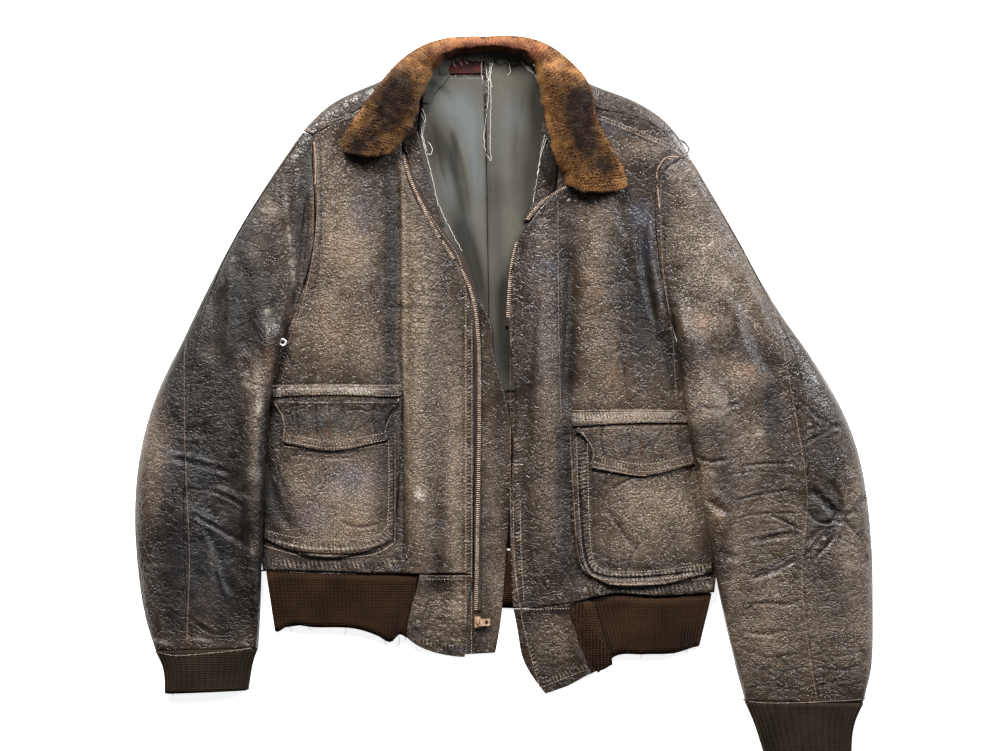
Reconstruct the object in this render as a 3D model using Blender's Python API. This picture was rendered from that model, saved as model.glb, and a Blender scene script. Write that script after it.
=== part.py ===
# A worn leather flying jacket, lying flat on its back with its front open.
# Right and left are the wearer's: the right side lies at -X, the collar towards +Y, the floor is z = 0.
# Sizes are in millimetres and become metres where a mesh is made.

import math

import bmesh
import bpy
import numpy as np
from mathutils import Vector
from mathutils.bvhtree import BVHTree

MM = 0.001

# Cloth thicknesses
LEATHER = 1.8
KNIT = 2.4
LINING = 1.0
FUR = 7.0
TAPE = 1.2
TRIM = 1.4

# Clearances: between pieces sewn edge to edge, and between a piece and what it lies on
SEAM_GAP = 0.3
LAY_GAP = 0.5

# Heights of the inner face of the leather above the floor
CHEST_HEIGHT = 11.0
HEM_HEIGHT = 8.6
SIDE_SEAM_HEIGHT = 2.5
SIDE_ROLL = 18.0
SLEEVE_EDGE = 3.2
COLLAR_SIDE_HEIGHT = 19.0
COLLAR_BACK_HEIGHT = 27.0

# Rise of a knit's ribs over the plain wall between them
RIB_RISE = 0.8

# Columns of knit: on each front, round the back, and over a cuff and below it
FRONT_RIBS = 76
BACK_KNIT = 12
CUFF_RIBS = 40
CUFF_UNDER = 12

# Outlines in plan. Each starts at the hem or at the shoulder and follows the cloth's edge.
RIGHT_SIDE = [(-274, -195), (-283, -115), (-280, -40), (-263, 30)]
RIGHT_ARMHOLE = [
    (-251, 74), (-240, 95), (-226, 133), (-215, 175), (-212, 200), (-214, 236), (-217, 275), (-216, 303),
]
RIGHT_SHOULDER_SEAM = [(-216, 303), (-186, 320), (-146, 342), (-99, 368)]
RIGHT_SHOULDER_FOLD = [(-227, 308), (-197, 337), (-146, 361), (-104, 379)]
RIGHT_FRONT_EDGE = [
    (-34, -199), (-33, -100), (-32, 20), (-34, 80), (-38, 125), (-48, 152), (-66, 177), (-93, 216),
    (-114, 262), (-119, 284), (-111, 318), (-99, 368),
]
LEFT_SIDE = [(243, -220), (252, -138), (240, -50), (213, 15)]
LEFT_ARMHOLE = [(200, 68), (186, 115), (178, 172), (174, 225), (178, 258), (192, 274), (207, 277)]
LEFT_SHOULDER_SEAM = [(207, 277), (190, 302), (160, 322), (106, 334), (46, 371)]
LEFT_SHOULDER_FOLD = [(214, 279), (203, 301), (159, 338), (110, 357), (52, 383)]
LEFT_FRONT_EDGE = [
    (13, -239), (10, -178), (9, -115), (14, -57), (17, -10), (12, 47), (6, 80), (7, 124), (12, 155),
    (20, 188), (34, 212), (56, 229), (70, 246), (62, 276), (54, 315), (46, 371),
]
LEFT_HEM = [(13, -239), (49, -237), (90, -230), (118, -222), (182, -224), (243, -220)]
RIGHT_HEM = [(-274, -195), (-150, -198), (-34, -199)]
BACK_HEM = [(-274, -195), (-120, -174), (-10, -170), (120, -182), (243, -220)]
BACK_NECK = [(-99, 368), (-78, 392), (-25, 407), (22, 405), (46, 371)]

# Where the underarm end of each sleeve seam lies, just clear of the body's corner
RIGHT_PIT = (-255, 71)
LEFT_PIT = (204, 66)

# Steps up the side seam, and round the armhole
SIDE_ROWS = 8
ARMHOLE_ROWS = 8

# Sections of each sleeve: outer edge, inner edge, and inside height at the middle
RIGHT_SLEEVE = [
    ((-227, 308), (-251, 74), 14), ((-276, 236), (-253, 71), 19), ((-322, 155), (-255, 68), 23),
    ((-359, 80), (-259, 48), 24), ((-403, -15), (-268, -16), 22), ((-419, -98), (-273, -94), 21),
    ((-418, -180), (-276, -176), 19), ((-401, -276), (-279, -272), 17), ((-397, -287), (-281, -284), 12),
]
LEFT_SLEEVE = [
    ((214, 279), (200, 68), 14), ((262, 198), (200, 60), 22), ((308, 113), (203, 48), 25),
    ((360, 40), (208, 4), 25), ((402, -40), (217, -50), 23), ((421, -140), (234, -138), 22),
    ((424, -236), (253, -236), 20), ((418, -336), (276, -332), 17), ((414, -347), (279, -344), 12),
]
RIGHT_CUFF = [
    ((-397, -287.2), (-281, -284.2), 11.5), ((-387, -303), (-288, -300), 12), ((-385, -336), (-293, -332), 11),
]
LEFT_CUFF = [
    ((414, -347.2), (279, -344.2), 11.5), ((403, -366), (291, -368), 12), ((399, -417), (306, -417), 11),
]

# Fractions of the way round a sleeve at which its two seams run, from the outer edge over the top.
# The top seam is given down the sleeve, as (fraction of its length, fraction round).
RIGHT_TOP_SEAM = [(0, 0.025), (0.28, 0.025), (0.42, 0.12), (0.55, 0.195), (0.72, 0.215), (1, 0.21)]
LEFT_TOP_SEAM = [(0, 0.025), (0.26, 0.025), (0.38, 0.1), (0.5, 0.17), (0.7, 0.22), (1, 0.2)]
UNDER_SEAM = 0.75

# Soft ridges (+) and valleys (-): line in plan, height, and reach to the line's left and right
RIGHT_FRONT_FOLDS = [
    ([(-93, -190), (-92, -60), (-93, 60), (-90, 165)], 8.0, 15.0, 24.0),
    ([(-117, -60), (-118, 60), (-118, 190), (-121, 262)], -2.5, 14.0, 6.0),
    ([(-55, -190), (-52, -40), (-55, 100)], -1.6, 12.0, 12.0),
    ([(-208, 60), (-190, 150), (-186, 240)], 3.0, 26.0, 30.0),
    ([(-150, 40), (-155, 180), (-160, 290)], 2.0, 22.0, 26.0),
]
LEFT_FRONT_FOLDS = [
    ([(52, -215), (46, -60), (46, 60), (48, 170)], 7.5, 20.0, 15.0),
    ([(84, 170), (76, 60), (71, -10), (72, -120)], -3.6, 10.0, 12.0),
    ([(106, 20), (110, 120), (104, 210)], 4.0, 16.0, 26.0),
    ([(158, 240), (162, 150), (170, 60)], -4.0, 12.0, 16.0),
    ([(28, -190), (26, -20), (24, 120)], -2.0, 9.0, 10.0),
]
RIGHT_SLEEVE_FOLDS = [
    ([(-225, 268), (-224, 215), (-228, 170), (-238, 122), (-252, 88)], -13.0, 9.0, 9.0),
    ([(-238, 230), (-246, 170), (-258, 110), (-266, 60)], 3.0, 12.0, 12.0),
    ([(-415, -70), (-350, -84), (-290, -98)], -3.5, 14.0, 9.0),
    ([(-400, -118), (-350, -134), (-300, -160)], 3.0, 10.0, 14.0),
    ([(-405, -178), (-350, -186), (-290, -178)], -2.5, 10.0, 12.0),
    ([(-400, -238), (-350, -246), (-290, -240)], -2.2, 10.0, 10.0),
]
LEFT_SLEEVE_FOLDS = [
    ([(250, 150), (280, 90), (318, 10), (332, -40)], -4.5, 12.0, 14.0),
    ([(380, -102), (352, -126), (330, -176), (300, -192)], -6.0, 8.0, 10.0),
    ([(372, -30), (356, -66), (372, -100)], 4.0, 12.0, 12.0),
    ([(250, -105), (300, -128), (350, -118)], -3.0, 9.0, 10.0),
    ([(262, -262), (330, -274), (410, -262)], -3.0, 8.0, 9.0),
    ([(272, -306), (340, -304), (408, -298)], -2.4, 7.0, 8.0),
    ([(236, 190), (262, 120), (282, 40)], 3.0, 16.0, 16.0),
]

# Collar edges, from the right tip round the back of the neck to the left tip
COLLAR_INNER = [
    (-127, 276), (-113, 296), (-99, 322), (-90, 350), (-80, 376), (-62, 393), (-25, 401), (3, 401),
    (24, 396), (36, 384), (41, 366), (45, 339), (51, 310), (59, 282), (68, 256), (78, 237),
]
COLLAR_OUTER = [
    (-190, 282), (-184, 301), (-169, 322), (-155, 342), (-135, 370), (-117, 391), (-100, 404),
    (-68, 416), (-25, 418), (32, 417), (53, 410), (70, 398), (87, 382), (101, 362), (106, 344),
    (109, 322), (124, 293), (138, 268), (147, 237),
]

LEATHER_BROWN = (0.075, 0.058, 0.048)
LINING_GREEN = (0.17, 0.18, 0.16)
KNIT_BROWN = (0.055, 0.035, 0.024)
FUR_BROWN = (0.26, 0.12, 0.035)
BRASS = (0.52, 0.33, 0.2)


def smooth(points, count):
    """Points at even steps along a smooth curve through the given ones."""
    knots_at = np.array(points, float)
    steps = np.linalg.norm(np.diff(knots_at[:, :2], axis=0), axis=1)
    along = np.concatenate([[0], np.cumsum(steps)])
    slopes = np.gradient(knots_at, along, axis=0)
    fine = np.linspace(0, along[-1], 40 * len(knots_at))
    span = np.clip(np.searchsorted(along, fine, side="right") - 1, 0, len(knots_at) - 2)
    length = (along[span + 1] - along[span])[:, None]
    t = (fine - along[span])[:, None] / length
    start, end = knots_at[span], knots_at[span + 1]
    leave, arrive = slopes[span] * length, slopes[span + 1] * length
    curve = (
        (2 * t**3 - 3 * t**2 + 1) * start + (t**3 - 2 * t**2 + t) * leave
        + (3 * t**2 - 2 * t**3) * end + (t**3 - t**2) * arrive
    )
    walked = np.concatenate([[0], np.cumsum(np.linalg.norm(np.diff(curve, axis=0), axis=1))])
    wanted = np.linspace(0, walked[-1], count)
    return np.stack([np.interp(wanted, walked, curve[:, k]) for k in range(curve.shape[1])], axis=1)


def side_and_armhole(side, armhole):
    """Points up a body panel's side and on round its armhole, the same for both body panels and the sleeve."""
    return np.concatenate([smooth(side + [armhole[0]], SIDE_ROWS), smooth(armhole, ARMHOLE_ROWS + 1)[1:]])


def net(bottom, top, left, right):
    """A net of plan points inside four edges. Rows run from left to right, and the first is the bottom."""
    u = np.linspace(0, 1, len(bottom))[None, :, None]
    v = np.linspace(0, 1, len(left))[:, None, None]
    ruled = (1 - v) * bottom[None] + v * top[None] + (1 - u) * left[:, None] + u * right[:, None]
    corners = (1 - v) * ((1 - u) * bottom[0] + u * bottom[-1]) + v * ((1 - u) * top[0] + u * top[-1])
    return ruled - corners


def strip(left, right, columns):
    """A net of plan points between two edges."""
    return np.stack([left + (right - left) * t for t in np.linspace(0, 1, columns)], axis=1)


def fade(t):
    """0 to 1 with a soft start and a soft end."""
    t = np.clip(t, 0, 1)
    return t * t * (3 - 2 * t)


def distance_to(plan, line):
    """Distance of plan points from a line of points, negative on its left."""
    best = np.full(plan.shape[:-1], 1e9)
    signed = np.zeros(plan.shape[:-1])
    for a, b in zip(np.array(line, float)[:-1], np.array(line, float)[1:]):
        d = b - a
        t = np.clip(((plan - a) @ d) / (d @ d), 0, 1)
        off = plan - a - t[..., None] * d
        far = np.linalg.norm(off, axis=-1)
        side = np.sign(d[1] * off[..., 0] - d[0] * off[..., 1])
        nearer = far < best
        best = np.where(nearer, far, best)
        signed = np.where(nearer, far * np.where(side == 0, 1, side), signed)
    return signed


def folded(plan, folds):
    """How far the folds lift plan points."""
    lift = np.zeros(plan.shape[:-1])
    for line, rise, left_reach, right_reach in folds:
        away = distance_to(plan, smooth(line, 24))
        reach = np.where(away < 0, left_reach, right_reach)
        lift += rise * np.exp(-((away / reach) ** 2))
    return lift


def with_height(plan, height):
    return np.concatenate([plan, np.broadcast_to(height, plan.shape[:-1])[..., None]], axis=-1)


def inset(grid, gap, sides):
    """Draws the named sides of a net in by gap, along its own rows and columns."""
    grid = grid.copy()
    rows = {"bottom": (0, 1), "top": (-1, -2)}
    for side in sides:
        if side in rows:
            edge, inner = rows[side]
            d = grid[inner] - grid[edge]
            grid[edge] = grid[edge] + gap * d / np.linalg.norm(d, axis=-1, keepdims=True)
        else:
            edge, inner = (0, 1) if side == "left" else (-1, -2)
            d = grid[:, inner] - grid[:, edge]
            grid[:, edge] = grid[:, edge] + gap * d / np.linalg.norm(d, axis=-1, keepdims=True)
    return grid


UP = np.array([0.0, 0.0, 1.0])


def outward(grid, wrapped, towards):
    """Unit normals of a net of points, on the side that towards points to."""
    if wrapped:
        across = np.roll(grid, -1, axis=1) - np.roll(grid, 1, axis=1)
    else:
        across = np.gradient(grid, axis=1)
    normal = np.cross(across, np.gradient(grid, axis=0))
    normal /= np.maximum(np.linalg.norm(normal, axis=-1, keepdims=True), 1e-9)
    return normal * np.sign((normal * towards).sum())


class Pile:
    """The outer faces of the pieces laid so far, for the next piece to rest on."""

    def __init__(self):
        self.points = []
        self.faces = []
        self.tree = None

    def add(self, grid, wrapped=False):
        rows, columns = grid.shape[:2]
        first = len(self.points)
        self.points += [Vector(p) for p in grid.reshape(-1, 3)]
        last = columns if wrapped else columns - 1
        for r in range(rows - 1):
            for c in range(last):
                n = (c + 1) % columns
                ring = [r * columns + c, r * columns + n, (r + 1) * columns + n, (r + 1) * columns + c]
                self.faces.append([first + k for k in ring])
        self.tree = None

    def height(self, x, y):
        hit = self.tree.ray_cast(Vector((x, y, 500)), Vector((0, 0, -1)))[0]
        return hit.z if hit else 0.0

    def under(self, plan, reach):
        """Height of the pile under each plan point, the highest within reach of it."""
        if not self.faces:
            return np.zeros(plan.shape[:-1])
        if self.tree is None:
            self.tree = BVHTree.FromPolygons(self.points, self.faces)
        turns = [k * math.tau / 8 for k in range(8)]
        around = [(0, 0)]
        around += [(r * reach * math.cos(a), r * reach * math.sin(a)) for a in turns for r in (0.5, 1)]
        flat = [max(self.height(x + dx, y + dy) for dx, dy in around) for x, y in plan.reshape(-1, 2)]
        return np.array(flat).reshape(plan.shape[:-1])


pile = Pile()


def softened(height, passes):
    """Spreads the steps of a height net over its neighbours, and never lowers it."""
    eased = height
    for _ in range(passes):
        wide = np.pad(eased, 1, mode="edge")
        eased = np.maximum(eased, (wide[:-2, 1:-1] + wide[2:, 1:-1] + wide[1:-1, :-2] + wide[1:-1, 2:]) / 4)
    return eased


def material(name, colour, roughness, metallic=0.0):
    found = bpy.data.materials.get(name)
    if found:
        return found
    made = bpy.data.materials.new(name)
    made.use_nodes = True
    shader = made.node_tree.nodes["Principled BSDF"]
    shader.inputs["Base Color"].default_value = (*colour, 1)
    shader.inputs["Roughness"].default_value = roughness
    shader.inputs["Metallic"].default_value = metallic
    return made


def leather():
    return material("leather", LEATHER_BROWN, 0.5)


def knit():
    return material("knit", KNIT_BROWN, 0.95)


def object_from(name, mesh, made_of):
    mesh.shade_smooth()
    mesh.set_sharp_from_angle(angle=math.radians(50))
    mesh.materials.append(made_of)
    body = bpy.data.objects.new(name, mesh)
    bpy.context.collection.objects.link(body)
    return body


def face_out(bm):
    bmesh.ops.recalc_face_normals(bm, faces=bm.faces)
    if bm.calc_volume(signed=True) < 0:
        bmesh.ops.reverse_faces(bm, faces=bm.faces)


def upright(normals):
    """Makes the growth at a seam vertical, so that two walls which meet there keep their gap over their depth."""
    z = normals[..., 2]
    grown = np.zeros_like(normals)
    grown[..., 2] = np.sign(z) / np.maximum(np.abs(z), 0.6)
    return np.where(np.abs(z)[..., None] > 0.3, grown, normals)


def wall(name, inside, thickness, made_of, wrapped=False, towards=UP, seams=()):
    """A closed wall of cloth, grown from a net of points on its inner face towards the side given."""
    lift = np.broadcast_to(np.asarray(thickness, float), inside.shape[:2])[..., None]
    growth = outward(inside, wrapped, towards)
    whole = slice(None)
    borders = {"bottom": (0, whole), "top": (-1, whole), "left": (whole, 0), "right": (whole, -1)}
    for side in seams:
        growth[borders[side]] = upright(growth[borders[side]])
    outside = inside + growth * lift
    rows, columns = inside.shape[:2]
    last = columns if wrapped else columns - 1
    bm = bmesh.new()
    layers = [[[bm.verts.new(p * MM) for p in row] for row in layer] for layer in (inside, outside)]

    def face(a, b, c, d):
        bm.faces.new((a, b, c, d))

    for r in range(rows - 1):
        for c in range(last):
            n = (c + 1) % columns
            for layer in layers:
                face(layer[r][c], layer[r][n], layer[r + 1][n], layer[r + 1][c])
    low, high = layers
    for c in range(last):
        n = (c + 1) % columns
        for r in (0, rows - 1):
            face(low[r][c], low[r][n], high[r][n], high[r][c])
    if not wrapped:
        for r in range(rows - 1):
            for c in (0, columns - 1):
                face(low[r][c], low[r + 1][c], high[r + 1][c], high[r][c])
    face_out(bm)
    mesh = bpy.data.meshes.new(name)
    bm.to_mesh(mesh)
    bm.free()
    pile.add(inside, wrapped)
    pile.add(outside, wrapped)
    return object_from(name, mesh, made_of)


def resting(plan, reach, rise=0.0, gap=LAY_GAP):
    """The inner face of a piece laid on the pile, lifted further by rise."""
    return with_height(plan, pile.under(plan, reach) + gap + rise)


def front_height(plan, side_edge, folds, front_edge):
    """Height of a front panel's inner face over the floor."""
    x, y = plan[..., 0], plan[..., 1]
    level = HEM_HEIGHT + (CHEST_HEIGHT - HEM_HEIGHT) * fade((y + 200) / 260)
    level = level + 2.5 * fade((y - 180) / 120)
    lifted = level + folded(plan, folds)
    near_front = np.abs(distance_to(plan, smooth(front_edge, 60)))
    edge = fade(near_front / 16) * fade((280 - y) / 30) + fade((y - 250) / 30)
    lifted = HEM_HEIGHT + (lifted - HEM_HEIGHT) * np.clip(edge, 0, 1)
    inward = np.abs(distance_to(plan, smooth(side_edge, 40)))
    inward = np.where(y > side_edge[-1][1], SIDE_ROLL * fade((y - side_edge[-1][1]) / 60) + inward, inward)
    roll = np.sqrt(1 - (1 - np.clip(inward / SIDE_ROLL, 0, 1)) ** 2)
    return SIDE_SEAM_HEIGHT + (lifted - SIDE_SEAM_HEIGHT) * roll


def right_front_height(plan):
    return front_height(plan, RIGHT_SIDE, RIGHT_FRONT_FOLDS, RIGHT_FRONT_EDGE)


def left_front_height(plan):
    return front_height(plan, LEFT_SIDE, LEFT_FRONT_FOLDS, LEFT_FRONT_EDGE)


def back_panel():
    """The back lies flat on the floor."""
    columns = 13
    top = np.concatenate([
        smooth(RIGHT_SHOULDER_SEAM, 4), smooth(BACK_NECK, 7)[1:-1], smooth(LEFT_SHOULDER_SEAM[::-1], 4)
    ])
    left, right = side_and_armhole(RIGHT_SIDE, RIGHT_ARMHOLE), side_and_armhole(LEFT_SIDE, LEFT_ARMHOLE)
    plan = net(smooth(BACK_HEM, columns), top, left, right)
    grid = inset(with_height(plan, LEATHER), SEAM_GAP, ("bottom", "left", "right"))
    grid = inset(grid, 5 * SEAM_GAP, ("top",))
    wall("back_panel", grid, LEATHER, leather(), towards=-UP, seams=("bottom", "top", "left", "right"))


def shoulder(name, seam, fold, height):
    """The strip that rolls from the front shoulder seam over the top of the shoulder to the back."""
    stations, around = 11, 7
    seam_plan, fold_plan = smooth(seam, stations), smooth(fold, stations)
    top = height(seam_plan)
    half = (top - LEATHER) / 2
    rows = []
    for turn in np.linspace(0, math.pi, around):
        plan = seam_plan + (fold_plan - seam_plan) * math.sin(turn)
        rows.append(with_height(plan, LEATHER + half + half * math.cos(turn)))
    grid = inset(np.stack(rows), SEAM_GAP, ("top", "left", "right"))
    grid = inset(grid, 2 * SEAM_GAP, ("bottom",))
    towards = grid - with_height(seam_plan, LEATHER + half)
    wall(name, grid, LEATHER, leather(), towards=towards, seams=("bottom", "top"))


def back_lining():
    """Two halves of the back lining show in the open neck. Their centre seam has torn open."""
    right_edge = smooth([(-44, 20), (-64, 120), (-88, 200), (-98, 290), (-86, 370)], 10)
    right_seam = smooth([(-14, 10), (-16, 120), (-18, 270), (-22, 371)], 10)
    plan = strip(right_edge, right_seam, 7)
    drape = folded(plan, [
        ([(-74, 150), (-80, 230), (-80, 330)], 5.0, 14.0, 9.0),
        ([(-34, 60), (-44, 180), (-52, 300)], 2.4, 8.0, 9.0),
        ([(-20, 100), (-24, 300)], 1.6, 6.0, 6.0),
    ])
    cloth = material("lining", LINING_GREEN, 0.9)
    wall("lining_right", resting(plan, 8, drape, SEAM_GAP), LINING, cloth)
    left_seam = smooth([(-13, 10), (-15, 120), (-17, 270), (-18, 394)], 10)
    left_edge = smooth([(44, 10), (40, 120), (46, 220), (52, 300), (34, 388)], 10)
    plan = strip(left_seam, left_edge, 7)
    drape = folded(plan, [
        ([(0, 60), (2, 200), (6, 330)], 3.0, 9.0, 11.0),
        ([(26, 150), (34, 240), (34, 330)], 4.0, 10.0, 12.0),
    ])
    wall("lining_left", resting(plan, 8, drape, SEAM_GAP), LINING, cloth)


def neck_strip():
    """A strip of red-brown leather shows through the torn neck of the lining."""
    plan = net(*[np.array(e, float) for e in (
        [(-72, 375), (-46, 375), (-22, 375)], [(-70, 387), (-46, 391), (-22, 393)],
        [(-72, 375), (-70, 387)], [(-22, 375), (-22, 393)],
    )])
    wall("neck_strip", resting(plan, 3, 0, SEAM_GAP), TRIM, material("red_leather", (0.16, 0.03, 0.02), 0.5))


def knit_band(columns, rows=3):
    """Net points of a knit band from (top, bottom, height) columns."""
    down = np.linspace(1, 0, rows)[:, None, None]
    top = np.array([with_height(np.array(t, float), z) for t, b, z in columns])
    bottom = np.array([with_height(np.array(b, float), z) for t, b, z in columns])
    return top[None] * down + bottom[None] * (1 - down)


def waistband():
    """One band of ribbed knit, from the right front round the back to the left front."""
    high, low, bend = HEM_HEIGHT - 1.0, KNIT, 5
    left_ribs = FRONT_RIBS - 6
    right_top = smooth([(-97, -202), (-180, -199), (-266, -198)], FRONT_RIBS)
    right_bottom = smooth([
        (-109, -272), (-116, -268), (-128, -277), (-142, -270), (-162, -263), (-215, -260), (-246, -259),
        (-256, -265),
    ], FRONT_RIBS)
    back_top = smooth([(-262, -200), (-120, -178), (-10, -174), (120, -186), (232, -223)], BACK_KNIT)
    back_bottom = smooth([(-256, -262), (-120, -243), (-5, -238), (120, -250), (222, -282)], BACK_KNIT)
    left_top = smooth([(236, -223), (182, -228), (120, -226), (90, -234), (81, -242)], left_ribs)
    left_bottom = smooth([(222, -282), (200, -289), (163, -291), (130, -293), (110, -312)], left_ribs)

    def turn(top, bottom, from_z, to_z, out):
        middle, radius = (from_z + to_z) / 2, (from_z - to_z) / 2
        return [
            (top + [out * abs(radius) * math.sin(a), 0], bottom + [out * abs(radius) * math.sin(a), 0],
             middle + radius * math.cos(a))
            for a in np.linspace(0, math.pi, bend + 2)[1:-1]
        ]

    lift = folded(right_top, RIGHT_FRONT_FOLDS) * 0.35
    columns = [(t, b, high + z) for t, b, z in zip(right_top, right_bottom, lift)]
    columns += turn(right_top[-1], right_bottom[-1], high, low, -1)
    columns += [(t, b, low) for t, b in zip(back_top, back_bottom)]
    columns += turn(left_top[0], left_bottom[0], low, high, 1)
    pleat = 3.5 * fade((np.arange(left_ribs) - (left_ribs - 14)) / 5)
    columns += [(t, b, high + z) for t, b, z in zip(left_top, left_bottom, pleat)]
    grid = knit_band(columns)
    grid = np.flip(grid, axis=0)
    raised = np.zeros(grid.shape[1])
    raised[:FRONT_RIBS:2] = RIB_RISE
    raised[-left_ribs::2] = RIB_RISE
    middle = grid * [1, 1, 0] + [0, 0, (high + low) / 2]
    wall("waistband", grid, KNIT + np.broadcast_to(raised, grid.shape[:2]), knit(), towards=grid - middle)


def zip_pieces():
    """The right front carries the wind flap and one half of the zip, the left front the other half."""
    rows = 21
    left = smooth([(-60, 158), (-46, 110), (-42, 20), (-43, -120), (-43, -292)], rows)
    right = smooth(
        [(-47, 166), (-28, 114), (-12, 92), (-10, 78), (-13, 66), (-8, 44), (2, 14), (9, -23), (9, -115),
         (3, -200), (-4, -270), (-8, -290)], rows,
    )
    plan = strip(left, right, 6)
    curl = 2.2 * folded(plan, [(right[3:13], 1.0, 5.0, 5.0)])
    wall("wind_flap", resting(plan, 23, curl + 0.4), LEATHER, leather())
    tape = material("zip_tape", (0.11, 0.075, 0.05), 0.85)
    inner = smooth([
        (-118, 281), (-112, 262), (-92, 218), (-66, 178), (-47, 152), (-38, 122), (-33.5, 80), (-32.5, 0),
        (-32.5, -242),
    ], 24)
    outer = smooth([
        (-112, 284), (-105, 266), (-85, 222), (-60, 184), (-39, 156), (-29, 124), (-25, 80), (-24, 0),
        (-24, -242),
    ], 24)
    wall("zip_tape_right", resting(strip(inner, outer, 3), 16, 0.3), TAPE, tape)
    inner = smooth([(64, 238), (44, 216), (26, 198), (14, 170), (8, 140), (4.5, 110), (3, 84)], 12)
    outer = smooth([(70, 232), (52, 207), (34, 189), (22, 166), (16, 138), (12.5, 110), (11, 84)], 12)
    wall("zip_tape_left", resting(strip(inner, outer, 3), 10, 0.6), TAPE, tape)


def facings():
    """Leather facings show inside the open neck, with torn edges."""
    front = smooth([(-113, 296), (-106, 268), (-88, 228), (-72, 201)], 7)
    torn = smooth([(-97, 308), (-90, 278), (-79, 236), (-67, 203)], 7)
    wall("facing_right", resting(strip(front, torn, 3), 9, 0.3), TRIM, leather())
    torn = smooth([(47, 318), (42, 275), (38, 232), (24, 204)], 7)
    front = smooth([(59, 314), (62, 280), (62, 246), (40, 212)], 7)
    wall("facing_left", resting(strip(torn, front, 3), 9, 0.3), TRIM, leather())


def front_panels():
    columns = 21
    side = side_and_armhole(RIGHT_SIDE, RIGHT_ARMHOLE)
    edge = smooth(RIGHT_FRONT_EDGE, len(side))
    plan = net(smooth(RIGHT_HEM, columns), smooth(RIGHT_SHOULDER_SEAM, columns), side, edge)
    height = np.maximum(right_front_height(plan), pile.under(plan, 12) + LAY_GAP)
    grid = inset(with_height(plan, height), SEAM_GAP, ("bottom", "top", "left"))
    wall("front_right", grid, LEATHER, leather(), seams=("bottom", "top", "left"))
    side = side_and_armhole(LEFT_SIDE, LEFT_ARMHOLE)
    edge = smooth(LEFT_FRONT_EDGE, len(side))
    plan = net(smooth(LEFT_HEM, columns), smooth(LEFT_SHOULDER_SEAM[::-1], columns), edge, side)
    height = np.maximum(left_front_height(plan), pile.under(plan, 24) + 2 * LAY_GAP)
    grid = inset(with_height(plan, height), SEAM_GAP, ("bottom", "top", "right"))
    wall("front_left", grid, LEATHER, leather(), seams=("bottom", "top", "right"))


def waist_tabs():
    """Leather ends of the waistband, below each front's hem seam."""
    hem = smooth([(-94, -200), (-62, -201), (-34, -201)], 7)
    foot = smooth([(-107, -271), (-96, -282), (-69, -292), (-43, -295)], 7)
    side = smooth([(-107, -271), (-101, -236), (-94, -200)], 7)
    edge = smooth([(-43, -295), (-41, -250), (-34, -201)], 7)
    wall("waist_tab_right", resting(net(foot, hem, side, edge), 14, 0.3), LEATHER, leather())
    hem = smooth([(13.5, -239.9), (49, -237.9), (77, -233.6)], 7)
    foot = smooth([(50, -337), (76, -328), (104, -312)], 7)
    edge = smooth([(50, -337), (33, -314), (23, -294), (19, -268), (13.5, -239.9)], 9)
    side = smooth([(104, -312), (96, -291), (88, -270), (77, -233.6)], 9)
    plan = net(foot, hem, edge, side)
    drop = np.linspace(0, 1, 9)[:, None]
    grid = resting(plan, 8)
    grid[..., 2] = np.maximum(grid[..., 2], HEM_HEIGHT * fade(drop * 1.15))
    wall("waist_tab_left", grid, LEATHER, leather(), seams=("top",))


def pocket(name, left, right, top, bottom, welt_drop, flap_left, flap_right, point, button_at):
    """A patch pocket with a stitched welt, a pointed flap and the button under it."""
    columns, rows = 11, 10
    plan = net(smooth(bottom, columns), smooth(top, columns), smooth(left, rows), smooth(right, rows))
    u = np.linspace(0, 1, columns)[None, :]
    v = np.linspace(0, 1, rows)[:, None]
    fullness = 5.0 * (np.sin(math.pi * np.clip(u, 0.0, 1)) * np.sin(math.pi * np.clip(v * 0.92 + 0.04, 0, 1))) ** 0.5
    wall(f"pocket_{name}", resting(plan, 11, fullness), LEATHER, leather())
    lid_top = smooth(top, columns)
    strip_plan = strip(lid_top - [0, welt_drop], lid_top, 3).transpose(1, 0, 2)
    wall(f"pocket_welt_{name}", resting(strip_plan, 11, 0.0), TRIM, leather())
    button(f"button_{name}", button_at)
    edge = np.array(flap_left, float)
    far = np.array(flap_right, float)
    foot = smooth([edge[-1], point, far[-1]], columns)
    hinge = smooth([edge[0], (edge[0] + far[0]) / 2, far[0]], columns)
    rows = 6
    plan = net(foot, hinge, smooth(edge[::-1], rows), smooth(far[::-1], rows))
    wall(f"pocket_flap_{name}", resting(plan, 11, 0.3), LEATHER, leather())


def button(name, at):
    """A turned button, 16 mm across, sewn on the pocket under its flap."""
    radius, thick = 8.0, 2.4
    profile = [
        (0, 0), (radius - 0.6, 0), (radius, 0.6), (radius, thick), (radius - 1.4, thick), (radius - 2.2, 1.6),
        (0, 1.6),
    ]
    base = pile.under(np.array([at], float), radius)[0] + LAY_GAP
    turned(name, profile, at, base, 20, material("button", (0.05, 0.03, 0.02), 0.4))


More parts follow.
